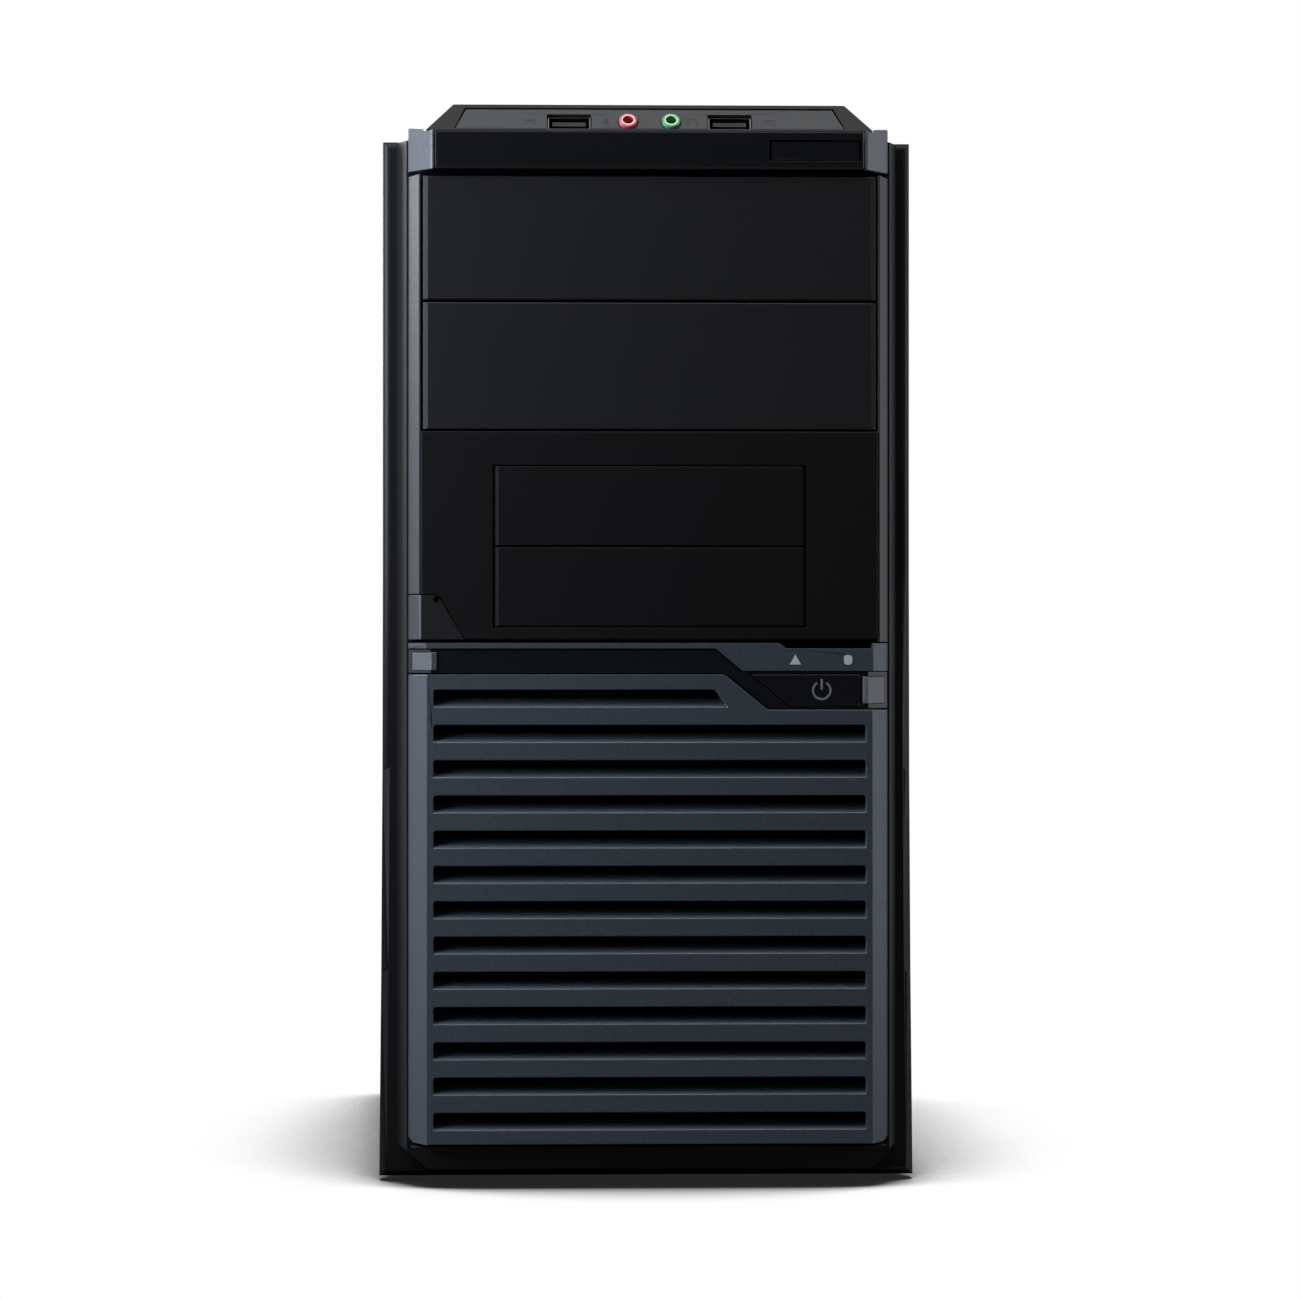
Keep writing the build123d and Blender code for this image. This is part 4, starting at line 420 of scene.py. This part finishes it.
# %% [markdown]
# ## Dressing the parts
#
# No moulded or folded edge is perfectly sharp: a radius of a few tenths of a millimetre is what catches the
# light and makes an edge readable. A weld modifier first joins the imported triangles, then a bevel rounds
# every edge that turns by more than 35 degrees.

# %% Soften edges and assign materials
def soften(piece, width, segments=2, angle=35.0):
    """Welds the triangles and rounds the sharp edges of a piece."""
    weld = piece.modifiers.new("weld", "WELD")
    weld.merge_threshold = 0.002 * MM
    bevel = piece.modifiers.new("edge_radius", "BEVEL")
    bevel.width = width
    bevel.segments = segments
    bevel.limit_method = "ANGLE"
    bevel.angle_limit = math.radians(angle)
    bevel.harden_normals = True
    bevel.use_clamp_overlap = True


def dress(name, material, radius=0.0):
    """Gives a CAD part its material and, if asked, rounded edges."""
    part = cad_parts[name]
    part.data.materials.clear()
    part.data.materials.append(material)
    if radius:
        soften(part, radius)


FINISHES = {
    "bezel_frame": (spark_black, 0.35), "side_trims": (titanium_paint, 0.2),
    "bay_surround": (bay_black, 0.15), "corner_badge": (badge_finish, 0.15),
    "tray_cover": (bay_grey, 0.15), "large_bay_cover": (bay_grey, 0.15),
    "small_bay_cover_upper": (bay_black, 0.15), "small_bay_cover_lower": (bay_black, 0.15),
    "header_strip": (piano_black, 0.15), "bright_corners": (silver_paint, 0.3),
    "eject_bar": (piano_black, 0.15),
    "indicator_bar": (gunmetal_paint, 0.2), "indicator_lenses": (lens_white, 0.0),
    "centre_strip": (piano_black, 0.2), "power_key": (piano_black, 0.0), "front_boards": (board_green, 0.0),
    "intake_grille": (gunmetal_paint, 0.35), "port_pod": (spark_black, 0.3), "port_plate": (pod_grey, 0.15),
    "usb_sockets": (nickel_with_painted_shade, 0.1), "microphone_jack": (pink, 0.1), "headphone_jack": (green, 0.1),
    "front_plate": (zinc, 0.0), "base_pan": (zinc, 0.2), "roof": (panel_black, 0.2),
    "rear_panel": (zinc, 0.12), "mainboard_tray": (zinc, 0.0),
    "drive_cage": (zinc, 0.0), "disk_cage": (zinc, 0.0),
    "side_panel_left": (panel_black, 0.25), "side_panel_right": (panel_black, 0.25),
    "thumbscrew_lower": (screw_zinc, 0.1), "thumbscrew_upper": (screw_zinc, 0.1), "lock_loop": (zinc, 0.15),
    "rubber_feet": (rubber, 0.4), "optical_case": (zinc, 0.0), "optical_face": (pbt_black, 0.2),
    "optical_tray": (pbt_black, 0.2), "rear_fan_frame": (pbt_black, 0.3), "rear_fan_rotor": (pbt_black, 0.0),
    "psu_case": (nickel, 0.12), "psu_core": (supply_finish, 0.0), "psu_fan_rotor": (pbt_black, 0.0),
    "power_inlet": (pbt_black, 0.2), "selector_slider": (red, 0.1), "mainboard": (board_green, 0.0),
    "cooler_sink": (cast_aluminium, 0.0), "cooler_fan_frame": (pbt_black, 0.2),
    "cooler_rotor": (pbt_black, 0.0),
    "board_sockets": (ivory, 0.15), "memory_modules": (board_green, 0.0), "memory_latch_front": (ivory, 0.2),
    "memory_latch_rear": (ivory, 0.2), "slot_covers": (nickel, 0.05), "card_latch": (ivory, 0.2),
    "io_shield": (nickel, 0.05), "io_sockets": (pbt_black, 0.1), "hard_disk": (cast_aluminium, 0.3),
    "cables": (sleeve, 0.0), "fasteners": (screw_zinc, 0.08),
}
for name, (material, radius) in FINISHES.items():
    dress(name, material, radius * MM)
print("dressed", len(FINISHES), "parts")


# %% [markdown]
# ## Tools for new pieces
#
# The new pieces are drawn as outlines and built point by point. A placing matrix says where the drawing
# lies: u runs across, v runs up, and w comes out towards the person looking at it. Two shapes cover most
# needs: a prism, which pushes an outline along w, and a lathe, which turns a profile about w.

# %% Mesh tools
def finished(name, maker, material, body, radius=0.0):
    """Makes an object from a bmesh, with rounded edges if asked, and lets it ride on a body."""
    bmesh.ops.remove_doubles(maker, verts=maker.verts, dist=0.0005 * MM)
    bmesh.ops.recalc_face_normals(maker, faces=maker.faces)
    mesh = bpy.data.meshes.new(name)
    maker.to_mesh(mesh)
    maker.free()
    mesh.materials.append(material)
    mesh.shade_smooth()
    mesh.set_sharp_from_angle(angle=math.radians(35))
    made = bpy.data.objects.new(name, mesh)
    bpy.context.scene.collection.objects.link(made)
    if radius:
        soften(made, radius)
    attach(made, body)
    return made


def placing(origin_mm, out):
    """A matrix for a drawing at origin whose w axis is out, with v as near to upright as it can be."""
    w_axis = Vector(out).normalized()
    u_axis = Vector((0, 0, 1)).cross(w_axis).normalized()
    v_axis = w_axis.cross(u_axis)
    turned = Matrix((u_axis, v_axis, w_axis)).transposed().to_4x4()
    return Matrix.Translation(Vector(origin_mm) * MM) @ turned @ Matrix.Scale(MM, 4)


def ring_faces(maker, first, second):
    """Joins two closed loops of the same length with a band of faces."""
    for i in range(len(first)):
        j = (i + 1) % len(first)
        maker.faces.new((first[i], first[j], second[j], second[i]))


def prism(maker, place, points, low, high):
    """A closed outline pushed from low to high along w. All sizes are in millimetres."""
    loops = [[maker.verts.new(place @ Vector((u, v, w))) for u, v in points] for w in (low, high)]
    ring_faces(maker, *loops)
    maker.faces.new(loops[0])
    maker.faces.new(loops[1])


def lathe(maker, place, profile, steps=40):
    """A closed profile of (radius, w) turned about w."""
    loops = []
    for k in range(steps):
        turn = 2 * math.pi * k / steps
        loops.append([maker.verts.new(place @ Vector((r * math.cos(turn), r * math.sin(turn), w)))
                      for r, w in profile])
    for k in range(steps):
        ring_faces(maker, loops[k], loops[(k + 1) % steps])


def arc(radius, start, end, steps=24, centre=(0.0, 0.0)):
    """Points along an arc, in degrees, counted anticlockwise from the u axis."""
    turns = [math.radians(start + (end - start) * k / steps) for k in range(steps + 1)]
    return [(centre[0] + radius * math.cos(a), centre[1] + radius * math.sin(a)) for a in turns]


def circle(radius, steps=32, centre=(0.0, 0.0)):
    """Points round a whole circle."""
    return arc(radius, 0, 360 * (steps - 1) / steps, steps - 1, centre)


def rectangle(half_u, half_v, centre=(0.0, 0.0)):
    """The four corners of a rectangle, anticlockwise."""
    u, v = centre
    return [(u - half_u, v - half_v), (u + half_u, v - half_v),
            (u + half_u, v + half_v), (u - half_u, v + half_v)]


def rounded(points, radius, steps=5):
    """The same outline with each corner turned into an arc."""
    result = []
    for i, point in enumerate(points):
        corner = Vector(point)
        back = Vector(points[i - 1]) - corner
        ahead = Vector(points[(i + 1) % len(points)]) - corner
        half = back.angle(ahead) / 2
        reach = min(radius / math.tan(half), 0.49 * back.length, 0.49 * ahead.length)
        size = reach * math.tan(half)
        centre = corner + (back.normalized() + ahead.normalized()).normalized() * size / math.sin(half)
        start = corner + back.normalized() * reach - centre
        end = corner + ahead.normalized() * reach - centre
        result += [tuple(centre + start.lerp(end, k / steps).normalized() * size) for k in range(steps + 1)]
    return result


def bored_block(maker, place, half_u, half_v, hole, depth, body_depth):
    """A block with a blind hole of any rounded outline in its face, at w = 0."""
    outer = []
    corners = [(half_u, half_v), (-half_u, half_v), (-half_u, -half_v), (half_u, -half_v)]
    for u, v in hole:
        grow = min(half_u / abs(u) if u else 1e9, half_v / abs(v) if v else 1e9)
        outer.append((u * grow, v * grow))
    for corner in corners:
        nearest = min(range(len(outer)), key=lambda i: math.dist(outer[i], corner))
        outer[nearest] = corner
    face_out, face_in, floor_in, back = [
        [maker.verts.new(place @ Vector((u, v, w))) for u, v in points]
        for points, w in ((outer, 0), (hole, 0), (hole, -depth), (outer, -body_depth))]
    ring_faces(maker, face_out, face_in)
    ring_faces(maker, face_in, floor_in)
    ring_faces(maker, face_out, back)
    maker.faces.new(floor_in)
    maker.faces.new(back)


print("tools: prism, lathe and bored block")

# %% [markdown]
# ## Printed symbols
#
# The power key carries the usual broken ring and bar, and each front socket has a small mark beside it.
# They are pad printed: a film of ink 0.03 mm thick, so each is a very thin prism that lies on its face.

# %% Ink
def pad_ink(name, hex_a, hex_b, roughness=0.45):
    """Opaque printing ink, slightly uneven where the pad lifted."""
    material, tree, output, where = blank(name)
    skin = add(tree, "ShaderNodeBsdfPrincipled", {
        "Base Color": shaded(tree, where, hex_a, hex_b, 0.6 * MM), "Roughness": roughness, "IOR": 1.5})
    tree.links.new(skin.outputs[0], output.inputs["Surface"])
    return material


pale_ink = pad_ink("pale_grey_pad_ink", "83868a", "96999d")
dark_ink = pad_ink("dark_grey_pad_ink", "141517", "1e1f21")
INK_LOW, INK_HIGH = 0.005, 0.035     # the film lies between these heights, in millimetres
print("inks ready")

# %% Power symbol
key_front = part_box("power_key")[0][1] / MM
POWER_SYMBOL = (56.7, 163.9)
ring_place = placing((POWER_SYMBOL[0], key_front, POWER_SYMBOL[1]), (0, -1, 0))
maker = bmesh.new()
prism(maker, ring_place, arc(3.25, 122, 418) + arc(2.55, 418, 122), INK_LOW, INK_HIGH)
prism(maker, ring_place, rectangle(0.36, 1.75, (0.0, 2.0)), INK_LOW, INK_HIGH)
finished("power_symbol", maker, pale_ink, "power_button")
print("power symbol at", POWER_SYMBOL)

# %% Marks beside the front sockets
PORT_SLOPE = math.radians(52.0)
PORT_ORIGIN = (-200.2, 348.4)       # y and z of the lower edge of the port face
PORT_OUT = (0.0, -math.sin(PORT_SLOPE), math.cos(PORT_SLOPE))
PORT_U = 4.0
PLATE_DEPTH = 0.3                   # the plate lies this far under the pod's face


def on_port_plate(x, up=PORT_U, lift=-PLATE_DEPTH):
    """A placing matrix on the sloping port plate, x across and up along the slope."""
    y = PORT_ORIGIN[0] + up * math.cos(PORT_SLOPE) + lift * PORT_OUT[1]
    z = PORT_ORIGIN[1] + up * math.sin(PORT_SLOPE) + lift * PORT_OUT[2]
    return placing((x, y, z), PORT_OUT)


maker = bmesh.new()
mic = on_port_plate(-14.2)
prism(maker, mic, rounded(rectangle(0.55, 1.1, (0.0, 0.7)), 0.54), INK_LOW, INK_HIGH)
cradle = arc(1.25, 200, 340, centre=(0, 0.3)) + arc(0.95, 340, 200, centre=(0, 0.3))
prism(maker, mic, cradle, INK_LOW, INK_HIGH)
prism(maker, mic, rectangle(0.14, 0.45, (0.0, -1.35)), INK_LOW, INK_HIGH)
prism(maker, mic, rectangle(0.8, 0.14, (0.0, -1.85)), INK_LOW, INK_HIGH)
phones = on_port_plate(14.2)
prism(maker, phones, arc(1.75, 0, 180) + arc(1.4, 180, 0), INK_LOW, INK_HIGH)
for side in (-1, 1):
    prism(maker, phones, rounded(rectangle(0.42, 0.8, (side * 1.45, -0.7)), 0.3), INK_LOW, INK_HIGH)
for side in (-1, 1):
    plug = on_port_plate(side * 39.6)
    for half_u, half_v, centre in ((2.0, 0.13, (0.0, -0.9)), (2.0, 0.13, (0.0, 0.9)),
                                   (0.13, 1.0, (-1.9, 0.0)), (0.13, 1.0, (1.9, 0.0)),
                                   (1.3, 0.3, (0.0, 0.3))):
        prism(maker, plug, rectangle(half_u, half_v, centre), INK_LOW, INK_HIGH)
finished("socket_marks", maker, dark_ink, "case")
print("socket marks on the port plate")

# %% [markdown]
# ## Black sheet behind the louvres
#
# A sheet of open black foam lies behind the louvres. It is painted shade: it stands for the shade between the
# bars, and it is why nothing of the steel behind shows there.

# %% Black sheet of painted shade
# Painted shade: a black foam sheet that stands for the shade between the louvres.
shade_foam = textured_abs("open_black_foam_painted_shade", "050505", "0b0b0b", 0.9, 0.4 * MM, 1.6 * MM)
maker = bmesh.new()
SHADE_SHEET_BACK = (0.0, -178.5, 85.5)      # middle of its rear face
SHADE_SHEET_THICKNESS = 3.0
prism(maker, placing(SHADE_SHEET_BACK, (0, -1, 0)), rounded(rectangle(73.5, 68.5), 3.0), 0.0, SHADE_SHEET_THICKNESS)
finished("black_sheet_painted_slot_shade", maker, shade_foam, "case", 0.4 * MM)
print("foam sheet", SHADE_SHEET_THICKNESS, "mm thick")

# %% [markdown]
# ## Front sockets
#
# A USB socket is a folded steel shell around a plastic tongue, and the tongue carries four gold-plated
# springs. The shell here is a block with a deep hole, so that its inside is dark as a real one's is. Each
# 3.5 mm jack has a bright ring inside its coloured barrel, where the plug's sleeve touches.

# %% Front sockets
FRONT_USB_X, FRONT_JACK_X = 26.5, 7.1
USB_PIN_PITCH = 2.333
TONGUE_RISE = 0.9                    # the tongue lies above the middle of the mouth
gold = plated_steel("gold_plated_contacts", "c9a24a", "d6b05a", 0.22)
shells, tongues, springs, rings = [bmesh.new() for _ in range(4)]
for side in (-1, 1):
    usb_place = on_port_plate(side * FRONT_USB_X, PORT_U, -1.4)
    tongue_place = on_port_plate(side * FRONT_USB_X, PORT_U + TONGUE_RISE, 0.0)
    bored_block(shells, usb_place, 7.1, 3.2, rounded(rectangle(6.6, 2.7), 0.4), 15.0, 15.6)
    prism(tongues, tongue_place, rectangle(5.55, 0.95), -16.3, -2.4)
    for k in range(4):
        spring = rectangle(0.5, 0.12, (-3.5 + k * USB_PIN_PITCH, -1.06))
        prism(springs, tongue_place, spring, -12.0, -3.4)
    jack_place = on_port_plate(side * FRONT_JACK_X, PORT_U, 0.0)
    lathe(rings, jack_place, [(1.82, -0.6), (2.2, -0.6), (2.2, 0.93), (1.82, 0.93)])
# The front shells take the darkened nickel, which paints the shade in their recesses.
made = finished("front_usb_shells", shells, nickel_with_painted_shade, "case", 0.12 * MM)
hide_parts("usb_sockets")
made = finished("front_usb_tongues", tongues, pbt_black, "case", 0.1 * MM)
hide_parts("usb_sockets")
finished("usb_contacts", springs, gold, "case")
finished("jack_collars", rings, nickel, "case", 0.08 * MM)
print("front sockets at x", FRONT_USB_X, "and", FRONT_JACK_X)

# %% [markdown]
# ## Fans
#
# A fan blade is a twisted wing: steep at the hub, where it moves slowly, and flatter at the tip. Each blade
# is one sheet of points swept from hub to tip, given its thickness by a solidify modifier. The flat blades
# of the mechanical model are hidden, and only keep their place in the physics.

# %% Fan rotors
def fan(name, node, body, place, hub, tip, depth, count):
    """A fan rotor about the w axis of place, standing for a CAD node."""
    radial, chord = 7, 8
    maker = bmesh.new()
    for b in range(count):
        rows = []
        for i in range(radial + 1):
            share = i / radial
            r = hub - 0.6 + (tip - hub + 0.6) * share
            reach = math.radians(360 / count) * (0.86 - 0.1 * share)
            lift = depth * (0.42 - 0.12 * share)
            row = []
            for j in range(chord + 1):
                t = j / chord
                turn = 2 * math.pi * b / count + 0.28 * share ** 1.5 + (t - 0.5) * reach
                w = (0.5 - t) * 2 * lift + 0.16 * depth * (1 - (2 * t - 1) ** 2) - 0.06 * depth
                row.append(maker.verts.new(place @ Vector((r * math.cos(turn), r * math.sin(turn), w))))
            rows.append(row)
        for i in range(radial):
            for j in range(chord):
                maker.faces.new((rows[i][j], rows[i][j + 1], rows[i + 1][j + 1], rows[i + 1][j]))
    blades = finished(name + "_blades", maker, pbt_black, body)
    wall = blades.modifiers.new("thickness", "SOLIDIFY")
    wall.thickness = 1.1 * MM
    wall.offset = 0.0
    maker = bmesh.new()
    half = depth / 2
    lathe(maker, place, [(0.001, -half + 2), (hub - 1.6, -half + 2), (hub - 1.6, -half), (hub, -half),
                         (hub, half - 2.2), (hub - 0.8, half - 0.7), (hub - 2.6, half), (0.001, half)], 64)
    cup = finished(name + "_hub", maker, pbt_black, body)
    maker = bmesh.new()
    prism(maker, place, circle(hub * 0.78, 48), half + 0.01, half + 0.08)
    label = finished(name + "_sticker", maker, silver_paint, body)
    for part in (blades, cup, label):
        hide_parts(node)


def middle_of(node):
    """The middle of a part, in millimetres."""
    low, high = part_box(node)
    return [(a + b) / 2 / MM for a, b in zip(low, high)]


rear_middle = middle_of("rear_fan_frame")
supply_middle = middle_of("psu_fan_rotor")
cooler_middle = middle_of("cooler_rotor")
fan("rear_fan", "rear_fan_rotor", "rear_fan",
    placing((rear_middle[0], rear_middle[1] - 1.2, rear_middle[2]), (0, -1, 0)), 18.5, 43.0, 19.0, 7)
fan("supply_fan", "psu_fan_rotor", "supply_fan",
    placing((-22.0, supply_middle[1], 299.0), (0, -1, 0)), 16.5, 36.6, 19.0, 7)
fan("cooler_fan", "cooler_rotor", "cooler_fan", placing((cooler_middle[0], 92.0, 190.0), (-1, 0, 0)),
    17.0, 42.0, 10.5, 7)
print("three fans")

# %% [markdown]
# ## Sockets at the back
#
# The back of a mainboard is a row of standard connectors, and their shapes and colours are what people
# recognise: a round keyboard socket, USB pairs, two D-shaped sockets between hexagonal jack screws, a network
# socket over more USB, and three coloured sound jacks. Each is built to its standard size.

# %% Socket materials
blue = polished_abs("blue_pbt", "1f4fa0", "2a5cae", 0.35)
teal = polished_abs("teal_pbt", "1d7f7a", "26908a", 0.35)
violet = polished_abs("violet_pbt", "5b3f8f", "684b9c", 0.35)
sky_blue = polished_abs("light_blue_pbt", "5f9fd0", "6caad9", 0.3)
MOUTH_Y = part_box("io_sockets")[1][1] / MM - 0.4      # mouth plane of the square sockets
REAR_OUT = (0.0, 1.0, 0.0)


def rear_place(x, z, lift=0.0):
    """A placing matrix on the mouth plane of the rear sockets, with u running towards -X."""
    return placing((x, MOUTH_Y + lift, z), REAR_OUT)


def rear_piece(name, maker, material, radius=0.0):
    """A piece of the rear sockets, which together stand for the CAD node."""
    made = finished(name, maker, material, "case", radius)
    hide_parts("io_sockets")


print("socket mouths at y", round(MOUTH_Y, 1))


# %% [markdown]
# The keyboard socket is a violet block round a nickel ring, with a black core that carries the pins.

# %% Keyboard socket
maker = bmesh.new()
din = rear_place(63.2, 233.0)
bored_block(maker, din, 8.1, 6.9, circle(4.9, 48), 8.0, 15.8)
rear_piece("keyboard_socket_block", maker, violet, 0.3 * MM)
maker = bmesh.new()
lathe(maker, din, [(4.3, -8.0), (4.85, -8.0), (4.85, 0.25), (4.3, 0.25)])
rear_piece("keyboard_socket_shell", maker, nickel, 0.08 * MM)
maker = bmesh.new()
prism(maker, din, circle(4.25, 40), -8.0, -3.0)
rear_piece("keyboard_socket_core", maker, pbt_black, 0.2 * MM)
print("keyboard socket")


# %% [markdown]
# The four USB sockets stand on end, in pairs, and each pair shares one steel housing.

# %% USB sockets
def usb_shell(shell, tongue, contacts, x, z):
    """One USB socket lying on its side: its long way runs along Z."""
    place = rear_place(x, z)
    mouth = rounded(rectangle(2.25, 6.0), 0.4)
    bored_block(shell, place, 2.65, 6.5, mouth, 9.5, 13.0)
    prism(tongue, place, rectangle(0.9, 5.3, (0.9, 0.0)), -9.5, -1.2)
    for k in range(4):
        prism(contacts, place, rectangle(0.1, 0.5, (-0.05, -3.5 + USB_PIN_PITCH * k)), -8.5, -1.8)


makers = [bmesh.new() for _ in range(3)]
REAR_USB = ((61.0, 214.0), (67.6, 214.0), (61.6, 126.5), (67.9, 126.5))
for x, z in REAR_USB:
    usb_shell(*makers, x, z)
rear_piece("rear_usb_shells", makers[0], nickel, 0.15 * MM)
rear_piece("rear_usb_tongues", makers[1], pbt_black, 0.1 * MM)
rear_piece("rear_usb_contacts", makers[2], gold)
maker = bmesh.new()
prism(maker, rear_place(64.3, 214.0), rectangle(6.9, 7.9), -15.8, -1.5)
prism(maker, rear_place(57.6, 126.5), rectangle(13.8, 7.9), -15.8, -1.5)
rear_piece("rear_usb_housings", maker, nickel, 0.2 * MM)
print("rear USB sockets", len(REAR_USB))


# %% [markdown]
# A D-shaped socket is a flange, a thin shell with sloping ends, a coloured insert with gold contacts, and a
# hexagonal screw at each end that the plug is screwed to.

# %% D-shaped sockets
D_PIN_PITCH, D_ROW_PITCH = 2.29, 1.98


def d_outline(long_half, short_half, slant=1.4):
    """The D of a D-sub connector, its long way along v."""
    return [(-short_half, -long_half), (short_half, -long_half + slant), (short_half, long_half - slant),
            (-short_half, long_half)]


def d_socket(name, x, z, material, rows):
    """Flange, D-shaped shell, coloured insert with its contact holes, and two jack screws."""
    place = rear_place(x, z)
    flange = bmesh.new()
    prism(flange, place, rounded(rectangle(5.6, 14.3), 1.0), -15.0, -0.9)
    outer = rounded(d_outline(8.3, 3.9), 1.2)
    inner = rounded(d_outline(7.9, 3.5), 1.0)
    walls = [[flange.verts.new(place @ Vector((u, v, w))) for u, v in points]
             for points, w in ((outer, -0.9), (outer, 0.0), (inner, 0.0), (inner, -0.9))]
    for k in range(4):
        ring_faces(flange, walls[k], walls[(k + 1) % 4])
    rear_piece(name + "_shell", flange, nickel, 0.12 * MM)
    insert = bmesh.new()
    prism(insert, place, rounded(d_outline(7.8, 3.4), 1.0), -3.0, -0.35)
    rear_piece(name + "_insert", insert, material, 0.1 * MM)
    holes = bmesh.new()
    for row in range(rows):
        u = (row - (rows - 1) / 2) * D_ROW_PITCH
        for k in range(5):
            v = (k - 2) * D_PIN_PITCH + (0.6 if row % 2 else 0.0)
            ring = [(0.001, -0.34), (0.42, -0.34), (0.42, -0.30), (0.001, -0.30)]
            lathe(holes, rear_place(x - u, z + v), ring, 12)
    rear_piece(name + "_contacts", holes, gold)
    screws = bmesh.new()
    for side in (-1, 1):
        hexagon = circle(2.4, 6, (0.0, side * 11.6))
        prism(screws, place, hexagon, -0.9, 0.0)
    rear_piece(name + "_jack_screws", screws, screw_zinc, 0.2 * MM)


d_socket("video_socket", 65.7, 186.0, blue, 3)
d_socket("serial_socket", 66.0, 151.5, teal, 2)
print("D-shaped sockets")

# %% [markdown]
# The network socket's mouth is a rectangle with two steps, which guide the plug's latch.

# %% Network socket
maker = bmesh.new()
net = rear_place(50.7, 126.5)
notch = [(-5.6, -5.9), (2.6, -5.9), (2.6, -3.1), (4.0, -3.1), (4.0, -1.6), (5.4, -1.6),
         (5.4, 1.6), (4.0, 1.6), (4.0, 3.1), (2.6, 3.1), (2.6, 5.9), (-5.6, 5.9)]
bored_block(maker, net, 6.8, 7.9, rounded(notch, 0.2, 2), 11.0, 15.8)
rear_piece("network_socket", maker, nickel, 0.1 * MM)
NETWORK_PINS = 8
maker = bmesh.new()
for k in range(NETWORK_PINS):
    prism(maker, net, rectangle(0.9, 0.2, (-4.4, -3.57 + 1.02 * k)), -9.0, -3.0)
rear_piece("network_contacts", maker, gold)
print("network socket with", NETWORK_PINS, "contacts")

# %% [markdown]
# The three sound jacks are told apart by colour: pink for a microphone, green for loudspeakers and blue for
# a line coming in.

# %% Sound jacks
JACKS_Z = 106.5
maker = bmesh.new()
prism(maker, rear_place(54.0, JACKS_Z, -3.2), rectangle(17.4, 6.0), -14.4, 0.0)
rear_piece("sound_jack_block", maker, pbt_black, 0.3 * MM)
barrel = [(1.8, -13.0), (4.1, -13.0), (4.1, -0.4), (3.7, 0.0), (2.6, 0.0), (2.2, -0.5), (1.8, -0.5)]
for name, x, material, slot in (("pink", 66.0, pink, "pink_plastic"), ("green", 54.0, green, "green_plastic"),
                                ("blue", 42.0, sky_blue, "black_pbt")):
    maker = bmesh.new()
    lathe(maker, rear_place(x, JACKS_Z, 0.4), barrel)
    rear_piece("sound_jack_" + name, maker, material)
print("sound jacks")

# %% [markdown]
# Three blades stand at the bottom of the mains inlet, the earth blade a little above the other two.

# %% Mains blades
maker = bmesh.new()
inlet = placing((41.5, 191.6, 281.0), REAR_OUT)
for du, dv in ((7.0, -1.0), (-7.0, -1.0), (0.0, 3.2)):
    prism(maker, inlet, rounded(rectangle(1.08, 2.08, (du, dv)), 0.3), -17.0, -2.9)
finished("mains_blades", maker, nickel, "case", 0.3 * MM)
print("mains blades")
